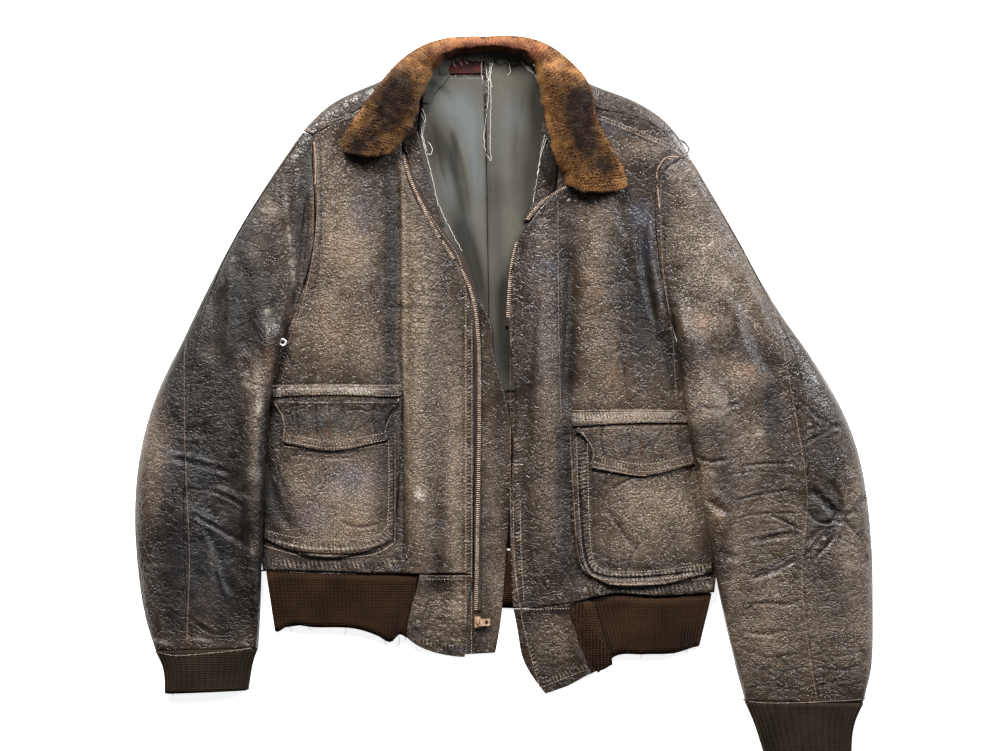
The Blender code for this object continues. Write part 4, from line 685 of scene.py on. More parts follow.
def leatherPaint(name, deep, face, wearAndSheen, rough):
    # Pebbled hide, dark between its pebbles, rubbed tan and grey where it is worn and where a sheen is
    # painted, and darkened by painted shade in creases and patches
    p = Paint(name)
    warp = p.add("ShaderNodeTexNoise", {"Vector": p.place, "Scale": 150.0, "Detail": 2.0}).outputs["Color"]
    bent = p.add("ShaderNodeVectorMath", {0: warp, "Scale": 0.0022}, operation="SCALE").outputs[0]
    bent = p.add("ShaderNodeVectorMath", {0: p.place, 1: bent}, operation="ADD").outputs[0]
    cells = p.add("ShaderNodeTexVoronoi", {"Vector": bent, "Scale": pebbleScale}, feature="F1").outputs
    top = p.step(cells["Distance"], 0.6, 0.1)
    each = p.add("ShaderNodeSeparateColor", {0: cells["Color"]}).outputs[0]
    edge = p.cellEdge(bent, pebbleScale)
    broad = p.noise(9.0, 5, 0.62)
    middle = p.noise(52.0, 4, 0.62)
    fine = p.noise(700.0, 3, 0.75)
    pebbled = p.step(p.value("wearAndSheen"), 0.05, 0.6, (0.35, 1.0))
    between = p.times(p.step(edge, 0.17, 0.0), p.step(middle, 0.35, 0.6, (0.35, 1.0)))
    between = p.times(between, pebbled)
    thin = p.apart(p.noise(38.0, 3, 0.7), 0.5)
    crack = p.times(p.step(thin, 0.010, 0.0), p.step(p.noise(15.0, 2), 0.5, 0.62))
    net = p.cellEdge(bent, 125.0)
    split = p.times(p.step(net, 0.07, 0.0), p.step(p.noise(30.0, 3), 0.40, 0.60))
    long = p.add("ShaderNodeVectorMath", {0: bent, 1: (48.0, 150.0, 48.0)}, operation="MULTIPLY").outputs[0]
    long = p.cellEdge(long, 1.0)
    long = p.times(p.times(p.step(long, 0.09, 0.0), p.value("across")), p.step(middle, 0.36, 0.52))
    split = p.larger(split, p.times(long, 1.5), clamp=True)
    net = p.times(p.step(net, 0.07, 0.0), p.step(middle, 0.4, 0.6))
    tone = p.mix(p.step(broad, 0.3, 0.7), deep, face)
    tone = p.mix(p.step(each, 0.1, 0.9), p.mix(1.0, tone, (0.75, 0.75, 0.75), "MULTIPLY"), tone)
    tone = p.mix(p.times(top, p.step(middle, 0.35, 0.65)), tone, tuple(c * 1.6 for c in face))
    mottle = p.plus(p.times(fine, 0.18), p.times(middle, 0.6))
    mottle = p.plus(mottle, 0.315)
    mottle = p.plus(mottle, p.times(each, 0.10))
    # rubbed carries real wear and painted sheen alike
    rubbed = p.times(p.value("wearAndSheen"), p.step(mottle, 0.42, 1.0))
    rubbed = p.times(rubbed, p.step(top, 0.0, 0.8, (0.72, 1.0)))
    lines = p.times(p.value("scuffed"), net)
    tone = p.mix(rubbed, tone, wearAndSheen)
    tone = p.mix(p.times(p.value("red"), p.step(mottle, 0.5, 0.96, (0.0, 0.7))), tone, (0.24, 0.12, 0.065))
    # painted reflection: a bluish tint of reflected sky light
    tone = p.mix(p.times(p.value("blue"), 0.4), tone, (0.075, 0.085, 0.13))
    tone = p.mix(p.times(lines, 0.8), tone, (0.42, 0.34, 0.27))
    # pale scuffs, and painted highlight streaks on creases
    tone = p.mix(p.times(p.value("pale"), p.step(mottle, 0.66, 0.92)), tone, (0.55, 0.5, 0.44))
    tone = p.mix(p.times(p.value("pucker"), 0.55), tone, (0.34, 0.265, 0.20))
    # painted shade from creases, shadow lines and the dark patches darkens the tone, together with the
    # hide's own cracks and the joints between pebbles
    shade = p.larger(p.times(crack, 0.7), p.value("creaseShade"), clamp=True)
    shade = p.larger(shade, p.times(p.value("dark"), 0.85))
    shade = p.larger(shade, p.times(between, 0.85))
    shade = p.larger(shade, p.times(split, 0.75))
    tone = p.mix(shade, tone, p.mix(1.0, tone, (0.10, 0.09, 0.085), "MULTIPLY"))
    gloss = p.step(middle, 0.3, 0.7, (rough - 0.06, rough + 0.1))
    gloss = p.plus(gloss, p.times(rubbed, 0.15))
    gloss = p.plus(gloss, p.times(shade, 0.12))
    gloss = p.plus(gloss, p.times(p.value("dark"), 0.08), clamp=True)
    grain = p.plus(p.times(p.times(top, pebbled), 0.7), p.times(fine, 0.16))
    fold = p.apart(p.noise(62.0, 3, 0.6), 0.5)
    grain = p.minus(grain, p.times(p.step(fold, 0.05, 0.0), p.step(broad, 0.42, 0.6, (0.3, 1.3))))
    grain = p.minus(grain, split)
    grain = p.plus(grain, p.times(p.noise(160.0, 4, 0.6), 0.6))
    grain = p.minus(grain, p.plus(crack, p.times(lines, 0.5)))
    return p.finish(Specular_IOR_Level=0.42, Base_Color=tone, Roughness=gloss, Normal=p.bump(grain, 0.00055))


hide = leatherPaint("hide", (0.010, 0.0072, 0.005), (0.040, 0.028, 0.019), (0.315, 0.232, 0.165), 0.27)
seamHide = leatherPaint("seam_hide", (0.06, 0.042, 0.031), (0.15, 0.105, 0.078), (0.42, 0.33, 0.26), 0.28)
darkHide = leatherPaint("dark_hide", (0.012, 0.009, 0.008), (0.03, 0.023, 0.018), (0.12, 0.09, 0.07), 0.30)


def knitPaint(name, low, high):
    p = Paint(name)
    rows = p.wave(121.0, "Y", Distortion=1.5, Detail=2.0)
    fibre = p.noise(900.0, 3, 0.7)
    rib = p.value("rib")
    tone = p.mix(p.step(p.noise(24.0, 4), 0.3, 0.7), low, high)
    loops = p.step(rows, 0.0, 1.0, (0.55, 1.0))
    # painted light and shade: yarn loops on rib tops lighter, the hollows between ribs darker
    tone = p.mix(p.times(p.times(loops, fibre), rib), tone, tuple(c * 2.6 for c in high))
    tone = p.mix(p.step(rib, 0.5, 0.0), tone, tuple(c * 0.25 for c in low))
    height = p.plus(p.times(rows, 0.5), p.times(fibre, 0.8))
    bump = p.bump(height, 0.0009)
    return p.finish(Specular_IOR_Level=0.06, Base_Color=tone, Roughness=0.95, Normal=bump, Sheen_Weight=0.03)


bandKnit = knitPaint("band_knit", (0.004, 0.0018, 0.0008), (0.0175, 0.0084, 0.004))
cuffKnit = knitPaint("cuff_knit", (0.004, 0.0028, 0.0017), (0.0145, 0.0105, 0.0065))


def liningPaint():
    p = Paint("cotton_lining")
    tone = p.mix(p.step(p.noise(9.0, 3), 0.35, 0.65), (0.041, 0.039, 0.029), (0.064, 0.061, 0.047))
    tone = p.mix(p.value("blue"), tone, (0.078, 0.090, 0.096))
    tone = p.mix(p.times(p.noise(420.0, 3, 0.7), 0.2), tone, (0.22, 0.215, 0.19))
    # painted shade in the lining's folds
    tone = p.mix(p.value("dark"), tone, p.mix(1.0, tone, (0.22, 0.22, 0.19), "MULTIPLY"))
    bump = p.bump(p.plus(p.wave(420.0, "X"), p.wave(420.0, "Y")), 0.0001)
    return p.finish(Specular_IOR_Level=0.2, Base_Color=tone, Roughness=0.8, Normal=bump, Sheen_Weight=0.1)


def plainPaint(name, low, high, rough, metal=0.0, scale=400.0, bump=0.0002):
    p = Paint(name)
    specks = p.noise(scale, 4, 0.65)
    tone = p.mix(p.step(specks, 0.3, 0.7), low, high)
    relief = p.bump(specks, bump)
    return p.finish(Specular_IOR_Level=0.25, Base_Color=tone, Roughness=rough, Metallic=metal, Normal=relief)


cotton = liningPaint()
webbing = plainPaint("zip_webbing", (0.012, 0.009, 0.007), (0.04, 0.028, 0.021), 0.85, scale=900.0)
redHide = plainPaint("red_hide", (0.008, 0.002, 0.0015), (0.07, 0.010, 0.006), 0.6, scale=160.0)
brass = plainPaint("old_brass", (0.26, 0.15, 0.09), (0.60, 0.42, 0.28), 0.30, 0.35, 300.0, 0.00005)
steel = plainPaint("worn_steel", (0.45, 0.44, 0.42), (0.75, 0.74, 0.72), 0.3, 0.5, 300.0, 0.00005)
horn = plainPaint("dark_horn", (0.015, 0.01, 0.008), (0.05, 0.03, 0.02), 0.35)
threadPaint = plainPaint("brown_thread", (0.16, 0.12, 0.09), (0.40, 0.33, 0.26), 0.7, scale=200.0)
whiteThread = plainPaint("white_thread", (0.42, 0.40, 0.36), (0.75, 0.73, 0.68), 0.8, scale=200.0)
knitThread = plainPaint("knit_thread", (0.01, 0.005, 0.003), (0.03, 0.015, 0.008), 0.9)
redThread = plainPaint("red_thread", (0.05, 0.012, 0.008), (0.16, 0.05, 0.03), 0.7, scale=200.0)
rimHide = plainPaint("rim_hide", (0.12, 0.07, 0.05), (0.40, 0.28, 0.20), 0.5, scale=240.0)
chainPaint = plainPaint("zip_chain", (0.16, 0.11, 0.08), (0.46, 0.35, 0.27), 0.42, 0.5, 250.0)
print("materials mixed")


# Cloth pieces grow from their solids: the mesh is rounded, cut finer where it shows, then creased

def treeOf(pieces):
    points, faces = [], []
    for piece in pieces:
        first = len(points)
        points += [v.co.copy() for v in piece.data.vertices]
        faces += [[first + k for k in f.vertices] for f in piece.data.polygons]
    return BVHTree.FromPolygons(points, faces)


def solidTree(*nodes):
    return treeOf(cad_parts[node] for node in nodes)


def topAt(tree, x, y, miss=0.0):
    hit = tree.ray_cast(Vector((x, y, 0.5)), Vector((0, 0, -1)))[0]
    return hit.z if hit else miss


sharpFrom = math.radians(48)  # edges that turn more than this stay sharp
rimWidth = 3.5 * mm  # faces between sharp edges and narrower than this are a cloth's rim


def roundedCopy(node, levels):
    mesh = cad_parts[node].data.copy()
    piece = linked(node + "_cloth", mesh)
    makeActive(piece)
    bpy.ops.object.mode_set(mode="EDIT")
    bpy.ops.mesh.select_all(action="SELECT")
    bpy.ops.mesh.remove_doubles(threshold=0.03 * mm)
    bpy.ops.mesh.tris_convert_to_quads(face_threshold=math.radians(60), shape_threshold=math.radians(60))
    bpy.ops.object.mode_set(mode="OBJECT")
    bm = bmesh.new()
    bm.from_mesh(mesh)
    crease = bm.edges.layers.float.get("crease_edge") or bm.edges.layers.float.new("crease_edge")
    rim = bm.faces.layers.int.new("rim")
    for edge in bm.edges:
        if edge.calc_face_angle(0) > sharpFrom:
            edge[crease] = 1.0
    for face in bm.faces:
        sharp = sum(e[crease] for e in face.edges)
        face[rim] = int(sharp >= 2 and min(e.calc_length() for e in face.edges) < rimWidth)
    bm.to_mesh(mesh)
    bm.free()
    modifier = piece.modifiers.new("Rounding", "SUBSURF")
    modifier.levels = modifier.render_levels = levels
    bpy.ops.object.modifier_apply(modifier=modifier.name)
    return piece


bandEdge = 1.1  # longest edge on a sewn band, in mm


def cutFiner(piece, finest, shows, bands=()):
    # Halves long edges of the faces that show, down to finest mm in most places and bandEdge on sewn bands
    bm = bmesh.new()
    bm.from_mesh(piece.data)
    flag = bm.faces.layers.int.new("shows")
    for face in bm.faces:
        face[flag] = int(face.normal.z > seenSlope and shows(face.calc_center_median()))
    for size in [finest] * 6 + [bandEdge] * 3:
        if size < finest:
            bm.faces.ensure_lookup_table()
            plan = np.array([f.calc_center_median()[:2] for f in bm.faces])
            for face, close in zip(bm.faces, nearBands(plan, bands)):
                face[flag] = int(close and face.normal.z > seenSlope)
        long = [e for e in bm.edges if e.calc_length() > size * mm and any(f[flag] for f in e.link_faces)]
        if long:
            bmesh.ops.subdivide_edges(bm, edges=long, cuts=1, use_grid_fill=True)
        elif size == finest and not bands:
            break
    bm.to_mesh(piece.data)
    bm.free()


def closeSeams(piece, reach):
    # Moves the rim of a cloth outwards by reach, so that sewn edges meet
    mesh = piece.data
    rim = mesh.attributes["rim"]
    push = np.zeros((len(mesh.vertices), 3))
    for face, flag in zip(mesh.polygons, rim.data):
        if flag.value:
            push[list(face.vertices)] += [face.normal.x, face.normal.y, 0]
    length = np.linalg.norm(push, axis=1, keepdims=True)
    push = np.where(length > 0.3, push / np.maximum(length, 1e-6), 0) * reach * mm
    setPoints(mesh, pointsOf(mesh) + push)


def finishCloth(piece, node, look, body="jacket"):
    dress(piece, look)
    piece.data.shade_smooth()
    piece.data.set_sharp_from_angle(angle=math.radians(60))
    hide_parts(node)
    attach(piece, body)


def raiseRibs(piece, gain):
    # Makes the ribs of knitted cloth stand out more, and stores their height, which the knit's colour uses
    # for painted light on the rib tops and painted shade between them
    mesh = piece.data
    points = pointsOf(mesh)
    normals = pointsOf(mesh, "normal")
    pairs = np.array([e.vertices[:] for e in mesh.edges])
    pairs = pairs[np.linalg.norm(points[pairs[:, 0]] - points[pairs[:, 1]], axis=1) < 4 * mm]
    smooth = points.copy()
    for _ in range(14):
        smooth = 0.5 * smooth + 0.5 * neighbourMean(smooth, pairs)
    rise = ((points - smooth) * normals).sum(axis=1)
    shown = np.abs(normals[:, 2]) > 0.5
    size = min(np.percentile(np.abs(rise[shown]), 85), 0.4 * mm)
    storeValues(mesh, "rib", np.clip(0.5 + 0.5 * rise / size, 0, 1))
    move = np.where(shown, np.clip(rise, -size, size) * gain, 0)[:, None] * normals
    points = points + move
    points[:, 2] = np.maximum(points[:, 2], floorGap)
    # the top edge goes up against the hem
    for at in np.arange(-0.30, 0.27, 0.004) if piece.name.startswith("waistband") else ():
        column = np.flatnonzero((points[:, 0] >= at) & (points[:, 0] < at + 0.004))
        if len(column):
            below = points[column, 1] - points[column, 1].max()
            points[column, 1] += 1.3 * mm * ease(below / (5 * mm) + 1)
    setPoints(mesh, points)


# Small sideways moves that close gaps over the floor: (place, reach across and up in mm, move in mm)
nudges = {"sleeve_right": ((285, 338), (12, 30), 3), "waist_tab_right": ((411, 622), (10, 32), -3)}


def makeCloth(node, settings):
    piece = roundedCopy(node, settings.get("levels", 2))
    partner = settings.get("tube")
    tree = solidTree(node, partner) if partner else None
    if settings["finest"]:
        if tree:
            shows = lambda c: topAt(tree, c.x, c.y) - c.z < 1.2 * mm
        else:
            shows = lambda c: True
        cutFiner(piece, settings["finest"], shows, settings.get("bands", ()))
    if settings.get("look", hide) is hide:
        closeSeams(piece, 0.35)
    if settings.get("slot") == "knit":
        raiseRibs(piece, 1.8)
    points = pointsOf(piece.data)
    share = np.ones(len(points))
    if tree:
        over = np.array([topAt(tree, x, y, z) - z for x, y, z in points])
        share = ease((6.5 * mm - over) / (3.5 * mm))
    lift = settings["lift"](points[:, :2])
    points[:, 2] = np.maximum(points[:, 2] + lift * share, floorGap)
    for start, (centre, reach, shift) in nudges.items():
        if node.startswith(start):
            off = (points[:, :2] - spots([centre])[0]) / (np.array(reach) * mm)
            points[:, 0] += shift * mm * np.exp(-(off**2).sum(axis=1))
    setPoints(piece.data, points)
    paint(piece, settings.get("creases", ()), settings.get("bands", ()), settings.get("look") is cotton)
    finishCloth(piece, node, settings.get("look", hide))
    print(f"{node}: {len(piece.data.polygons)} faces")
    return piece


liningCreases = [
    (-1.6, 3, [(440, 118), (452, 140), (462, 175), (468, 215), (474, 262)]),
    (1.2, 3, [(446, 116), (458, 138), (468, 172), (474, 215)]),
    (-1.0, 2.4, [(430, 112), (436, 150), (446, 190)]), (-1.0, 2, [(461, 170), (456, 200), (452, 226)]),
    (-0.8, 2, [(524, 96), (516, 150), (502, 190)]), (-0.8, 2, [(500, 200), (496, 260), (494, 320)]),
    (-0.9, 3, [(448, 90), (452, 130), (446, 170)]), (0.8, 3, [(461, 190), (456, 215), (452, 235)]),
    (-1.0, 3, [(474, 100), (476, 150), (474, 220)]), (0.8, 4, [(504, 80), (508, 140), (506, 220)]),
    (-0.9, 3, [(524, 90), (526, 140), (518, 200)]), (-0.8, 3, [(470, 240), (484, 300), (490, 360)]),
    (1.0, 1.6, [(487, 70), (488, 140), (487, 260), (488, 380)]),
    (-0.9, 1.4, [(490.5, 70), (491.5, 140), (490.5, 260), (491, 380)]),
    (0.8, 3, [(436, 100), (440, 150), (452, 200)]), (-0.7, 3, [(500, 250), (503, 300), (500, 350)]),
]


def flatLift(plan):
    return 0.3 * mm * waves(plan, 40, 31)


def liningLift(plan):
    return creased(plan, liningCreases) + 0.7 * mm * waves(plan, 34, 32) + 0.2 * mm * waves(plan, 11, 33)


def stillLift(plan):
    return 0 * plan[:, 0]


cloths = {
    "back_panel": dict(levels=1, finest=0, lift=stillLift, sheet=((0.56, 0.60), 0.245, "laid", [])),
    "front_right": dict(
        finest=2.8, lift=bodyLift, creases=bodyCreases, bands=sewnBands,
        sheet=((0.26, 0.60), 0.105, "laid", ["back_panel"]),
    ),
    "front_left": dict(
        finest=2.8, lift=bodyLift, creases=bodyCreases, bands=sewnBands,
        sheet=((0.26, 0.63), 0.109, "laid", ["back_panel"]),
    ),
    "shoulder_right": dict(
        finest=2.4, lift=flatLift, creases=bodyCreases,
        sheet=((0.14, 0.05), 0.0055, "folded", ["back_panel"]),
    ),
    "shoulder_left": dict(
        finest=2.4, lift=flatLift, creases=bodyCreases,
        sheet=((0.19, 0.05), 0.0075, "folded", ["back_panel"]),
    ),
    "sleeve_right_front": dict(
        finest=2.5, lift=sleeveLift, tube="sleeve_right_back", creases=rightSleeveCreases,
        sheet=((0.22, 0.68), 0.090, "folded", ["back_panel"]),
    ),
    "sleeve_right_back": dict(
        finest=2.7, lift=sleeveLift, tube="sleeve_right_front", creases=rightSleeveCreases,
        sheet=((0.15, 0.66), 0.058, "folded", ["back_panel"]),
    ),
    "sleeve_left_front": dict(
        finest=2.5, lift=sleeveLift, tube="sleeve_left_back", creases=leftSleeveCreases,
        sheet=((0.26, 0.70), 0.115, "folded", ["front_left"]),
    ),
    "sleeve_left_back": dict(
        finest=2.7, lift=sleeveLift, tube="sleeve_left_front", creases=leftSleeveCreases,
        sheet=((0.20, 0.69), 0.081, "folded", ["back_panel"]),
    ),
    "pocket_right": dict(
        finest=2.4, lift=pocketLift(rightPocketCreases), creases=rightPocketCreases, bands=sewnBands,
        sheet=((0.17, 0.19), 0.028, "laid", ["front_right"]),
    ),
    "pocket_left": dict(
        finest=2.4, lift=pocketLift(leftPocketCreases), creases=leftPocketCreases, bands=sewnBands,
        sheet=((0.17, 0.19), 0.029, "laid", ["front_left"]),
    ),
    "pocket_flap_right": dict(
        finest=1.6, lift=bodyLift, bands=sewnBands, creases=bodyCreases,
        sheet=((0.15, 0.06), 0.0066, "laid", ["pocket_right"]),
    ),
    "pocket_flap_left": dict(
        finest=1.6, lift=bodyLift, bands=sewnBands, creases=bodyCreases,
        sheet=((0.14, 0.06), 0.0064, "laid", ["pocket_left"]),
    ),
    "pocket_welt_right": dict(
        finest=1.6, lift=bodyLift, bands=sewnBands, creases=bodyCreases,
        sheet=((0.162, 0.015), 0.0024, "laid", ["pocket_right"]),
    ),
    "pocket_welt_left": dict(
        finest=1.6, lift=bodyLift, bands=sewnBands, creases=bodyCreases,
        sheet=((0.16, 0.016), 0.0025, "laid", ["pocket_left"]),
    ),
    "waist_tab_right": dict(
        finest=1.6, lift=tabLift, bands=sewnBands, creases=bodyCreases,
        sheet=((0.075, 0.095), 0.0061, "laid", ["wind_flap"]),
    ),
    "waist_tab_left": dict(
        finest=1.6, lift=tabLift, bands=sewnBands, creases=bodyCreases,
        sheet=((0.075, 0.11), 0.0067, "laid", ["front_left"]),
    ),
    "wind_flap": dict(finest=2.4, lift=bodyLift, sheet=((0.06, 0.47), 0.0195, "laid", ["back_panel"])),
    "facing_right": dict(finest=2, lift=flatLift, sheet=((0.022, 0.12), 0.0017, "laid", ["lining_right"])),
    "facing_left": dict(finest=2, lift=flatLift, sheet=((0.025, 0.12), 0.0021, "laid", ["lining_left"])),
    "lining_right": dict(
        finest=3.2, lift=liningLift, look=cotton, slot="lining",
        sheet=((0.085, 0.37), 0.0221, "laid", ["back_panel"]),
    ),
    "lining_left": dict(
        finest=3.2, lift=liningLift, look=cotton, slot="lining",
        sheet=((0.075, 0.39), 0.0232, "laid", ["back_panel"]),
    ),
    "neck_strip": dict(
        finest=2, lift=flatLift, look=redHide, slot="red_leather",
        sheet=((0.055, 0.022), 0.00095, "laid", ["back_panel"]),
    ),
    "zip_tape_right": dict(
        finest=2.4, lift=bodyLift, look=webbing, slot="zip_tape",
        sheet=((0.0105, 0.58), 0.0053, "laid", ["wind_flap"]),
    ),
    "zip_tape_left": dict(
        finest=2.4, lift=bodyLift, look=webbing, slot="zip_tape",
        sheet=((0.0105, 0.19), 0.0019, "laid", ["front_left"]),
    ),
    "waistband": dict(
        finest=0, lift=stillLift, look=bandKnit, slot="knit",
        sheet=((0.80, 0.08), 0.055, "folded", ["back_panel"]),
    ),
    "cuff_right": dict(
        finest=0, lift=stillLift, look=cuffKnit, slot="knit",
        sheet=((0.21, 0.055), 0.011, "folded", ["sleeve_right_front"]),
    ),
    "cuff_left": dict(
        finest=0, lift=stillLift, look=cuffKnit, slot="knit",
        sheet=((0.23, 0.08), 0.0173, "folded", ["sleeve_left_front"]),
    ),
}
made = {node: makeCloth(node, settings) for node, settings in cloths.items()}
print("cloth laid out")


# Fur: a base pelt sunk inside the collar's solid, and locks that reach its outer face

fur = dict(
    sink=4.6, lockWidth=1.15, locks=52000, parting=-22,
    golden=(0.46, 0.225, 0.066), tawny=(0.14, 0.055, 0.014),
    dark=(0.026, 0.010, 0.003), red=(0.22, 0.07, 0.027),
)
# Patches where the fur is painted darker; the one at the back of the collar is painted shade against the key
# light
darkFur = [
    (1.0, 388, 108, 18, 30, 20), (0.8, 366, 140, 24, 16, 20), (0.7, 400, 84, 14, 18, 10),
    (0.5, 358, 152, 14, 10), (1.0, 576, 116, 16, 22), (1.0, 584, 140, 15, 18), (0.9, 580, 98, 14, 16),
    (1.0, 604, 168, 12, 11), (0.5, 592, 156, 12, 10), (0.4, 410, 100, 12, 24), (0.35, 424, 46, 24, 12),
]
redFur = [(1.0, 500, 50, 34, 10), (0.8, 470, 52, 30, 9), (0.7, 530, 56, 18, 12), (0.8, 440, 62, 10, 10)]


def makeFur():
    pelt = roundedCopy("fur_collar", 2)
    mesh = pelt.data
    tree = solidTree(
        "fur_collar", "front_right", "front_left", "back_panel", "shoulder_right", "shoulder_left",
    )
    areas = np.array([f.area for f in mesh.polygons])
    outer = np.array([
        n.z > 0.3 or (n.z > -0.35 and tree.ray_cast(c + n * 0.5 * mm, n, 0.026)[0] is None)
        for c, n in ((f.center.copy(), f.normal.copy()) for f in mesh.polygons)
    ])
    outerPoint = np.zeros(len(mesh.vertices), bool)
    for face, out in zip(mesh.polygons, outer):
        if out:
            outerPoint[list(face.vertices)] = True
    points = pointsOf(mesh)
    pointNormals = pointsOf(mesh, "normal")
    tips = points.copy()
    points[outerPoint] -= pointNormals[outerPoint] * fur["sink"] * mm
    setPoints(mesh, points)

    # locks stand on the sunk pelt, spread by area and combed away from the neck
    rng = np.random.default_rng(7)
    chosen = np.flatnonzero(outer)
    share = areas[chosen] / areas[chosen].sum()
    picks = rng.choice(chosen, fur["locks"], p=share)
    corners = np.array([[list(f.vertices)[k % len(f.vertices)] for k in range(4)] for f in mesh.polygons])
    weights = rng.dirichlet((1, 1, 1, 1), fur["locks"])
    roots = (points[corners[picks]] * weights[:, :, None]).sum(axis=1)
    ends = (tips[corners[picks]] * weights[:, :, None]).sum(axis=1)
    plan = roots[:, :2]
    lean = np.stack([waves(plan, 16, 41), waves(plan, 16, 42) - 0.35, 0 * roots[:, 0]], axis=1)
    clump = waves(plan, 8, 43)
    lean = lean * 3.0 * mm + rng.normal(0, 0.5, roots.shape) * mm
    reach = rng.uniform(0.8, 1.1, len(roots))[:, None] * (1 + 0.24 * clump)[:, None]
    ends = roots + (ends - roots) * reach + lean
    up = (ends - roots) / np.linalg.norm(ends - roots, axis=1, keepdims=True)
    sideways = np.cross(up, rng.normal(0, 1, roots.shape))
    sideways /= np.linalg.norm(sideways, axis=1, keepdims=True)
    across = np.cross(up, sideways)
    half = fur["lockWidth"] * mm / 2 * rng.uniform(0.7, 1.3, len(roots))[:, None]
    turns = (0, math.tau / 3, 2 * math.tau / 3)
    ring = [roots + half * (sideways * math.cos(a) + across * math.sin(a)) for a in turns]
    verts = np.stack(ring + [ends], axis=1).reshape(-1, 3)
    faces = np.array([[0, 1, 3], [1, 2, 3], [2, 0, 3]])
    dark = np.clip(patched(plan, darkFur) + 0.35 * waves(plan, 9, 44) * patched(plan, darkFur), 0, 1)
    red = np.clip(patched(plan, redFur), 0, 1)
    blend = 0.5 + 0.35 * clump + 0.3 * waves(plan, 22, 45) + 0.28 * rng.normal(0, 1, len(plan))
    blend = ease(blend)[:, None]
    colour = np.array(fur["tawny"]) * (1 - blend) + np.array(fur["golden"]) * blend
    colour = colour * (1 - red[:, None]) + np.array(fur["red"]) * red[:, None] * (0.6 + 0.8 * blend)
    colour = colour * (1 - dark[:, None]) + np.array(fur["dark"]) * (0.6 + blend) * dark[:, None]
    look = Paint("fur_locks")
    look.finish(Base_Color=look.colour("hair"), Roughness=0.7, Sheen_Weight=0.04, Sheen_Roughness=0.4)
    onRight = plan[:, 0] < fur["parting"] * mm
    for name, side in (("fur_locks_right", onRight), ("fur_locks_left", ~onRight)):
        count = int(side.sum())
        lockMesh = bpy.data.meshes.new(name)
        kept = verts.reshape(-1, 4, 3)[side].reshape(-1, 3)
        tri = (faces[None] + 4 * np.arange(count)[:, None, None]).reshape(-1, 3)
        lockMesh.from_pydata(kept.tolist(), [], tri.tolist())
        # each lock is painted darker at its root, as shade deep in the pile, and lighter at its tip
        shade = np.repeat(colour[side], 4, axis=0) * np.tile([0.35, 0.35, 0.35, 1.15], count)[:, None]
        layer = lockMesh.attributes.new("hair", "FLOAT_COLOR", "POINT")
        shade = np.concatenate([shade, np.ones((len(shade), 1))], axis=1)
        layer.data.foreach_set("color", shade.astype(np.float32).ravel())
        lockMesh.materials.append(look.material)
        lockMesh.shade_smooth()
        lock = linked(name, lockMesh)
        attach(lock, "jacket")
    under = plainPaint("fur_base", (0.03, 0.012, 0.005), (0.10, 0.04, 0.014), 0.9)
    finishCloth(pelt, "fur_collar", under)


makeFur()
print("fur combed")


# What repeats is modelled once, and its copies are joined into one mesh

def modelOf(piece):
    mesh = piece.data
    points = pointsOf(mesh)
    faces = [list(f.vertices) for f in mesh.polygons]
    bpy.data.objects.remove(piece)
    return points, faces


def stamp(name, model, places, look):
    # places holds (origin, forward, up) for each copy
    points, faces = model
    verts, polygons = [], []
    for origin, forward, up in places:
        forward = forward / np.linalg.norm(forward)
        side = np.cross(up, forward)
        side /= np.linalg.norm(side)
        rise = np.cross(forward, side)
        first = len(verts) * len(points)
        verts.append(origin + points @ np.stack([forward, side, rise]))
        polygons += [[first + k for k in f] for f in faces]
    mesh = bpy.data.meshes.new(name)
    mesh.from_pydata(np.concatenate(verts).tolist(), [], polygons)
    mesh.materials.append(look)
    mesh.shade_smooth()
    mesh.set_sharp_from_angle(angle=math.radians(50))
    piece = linked(name, mesh)
    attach(piece, "jacket")


def alongLine(line, pitch, tree, lift=0.0, turns=2):
    # Places at even steps along a line that is laid on the cloth
    path = rounded(spots(line), turns)
    walked = np.concatenate([[0], np.cumsum(np.linalg.norm(np.diff(path, axis=0), axis=1))])
    count = max(2, int(walked[-1] / (pitch * mm)))
    at = (np.arange(count) + 0.5) / count * walked[-1]
    plan = np.stack([np.interp(at, walked, path[:, k]) for k in (0, 1)], axis=1)
    points = np.array([(x, y, topAt(tree, x, y) + lift * mm) for x, y in plan])
    forward = np.gradient(points, axis=0)
    return [(p, f, np.array([0.0, 0.0, 1.0])) for p, f in zip(points, forward)]


bpy.ops.object.select_all(action="DESELECT")
bpy.ops.mesh.primitive_uv_sphere_add(segments=6, ring_count=4, radius=0.5, rotation=(0, math.pi / 2, 0))
stitch = bpy.context.object
bpy.ops.object.transform_apply(rotation=True)
stitch.scale = (2.4 * mm, 0.95 * mm, 0.7 * mm)
bpy.ops.object.transform_apply(scale=True)
stitchModel = modelOf(stitch)

bpy.ops.object.select_all(action="DESELECT")
bpy.ops.mesh.primitive_cube_add(size=1)
tooth = bpy.context.object
tooth.scale = (1.25 * mm, 4.2 * mm, 1.4 * mm)
bpy.ops.object.transform_apply(scale=True)
bpy.ops.object.mode_set(mode="EDIT")
bpy.ops.mesh.select_all(action="SELECT")
bpy.ops.mesh.bevel(offset=0.25 * mm, segments=1)
bpy.ops.object.mode_set(mode="OBJECT")
toothModel = modelOf(tooth)

bodyTop = treeOf(made[n] for n in (
    "front_right", "front_left", "pocket_right", "pocket_left", "pocket_flap_right", "pocket_flap_left",
    "pocket_welt_right", "pocket_welt_left", "waist_tab_right", "waist_tab_left", "wind_flap",
    "zip_tape_right", "zip_tape_left", "shoulder_right", "shoulder_left", "facing_right", "facing_left",
))
allTop = treeOf(made.values())


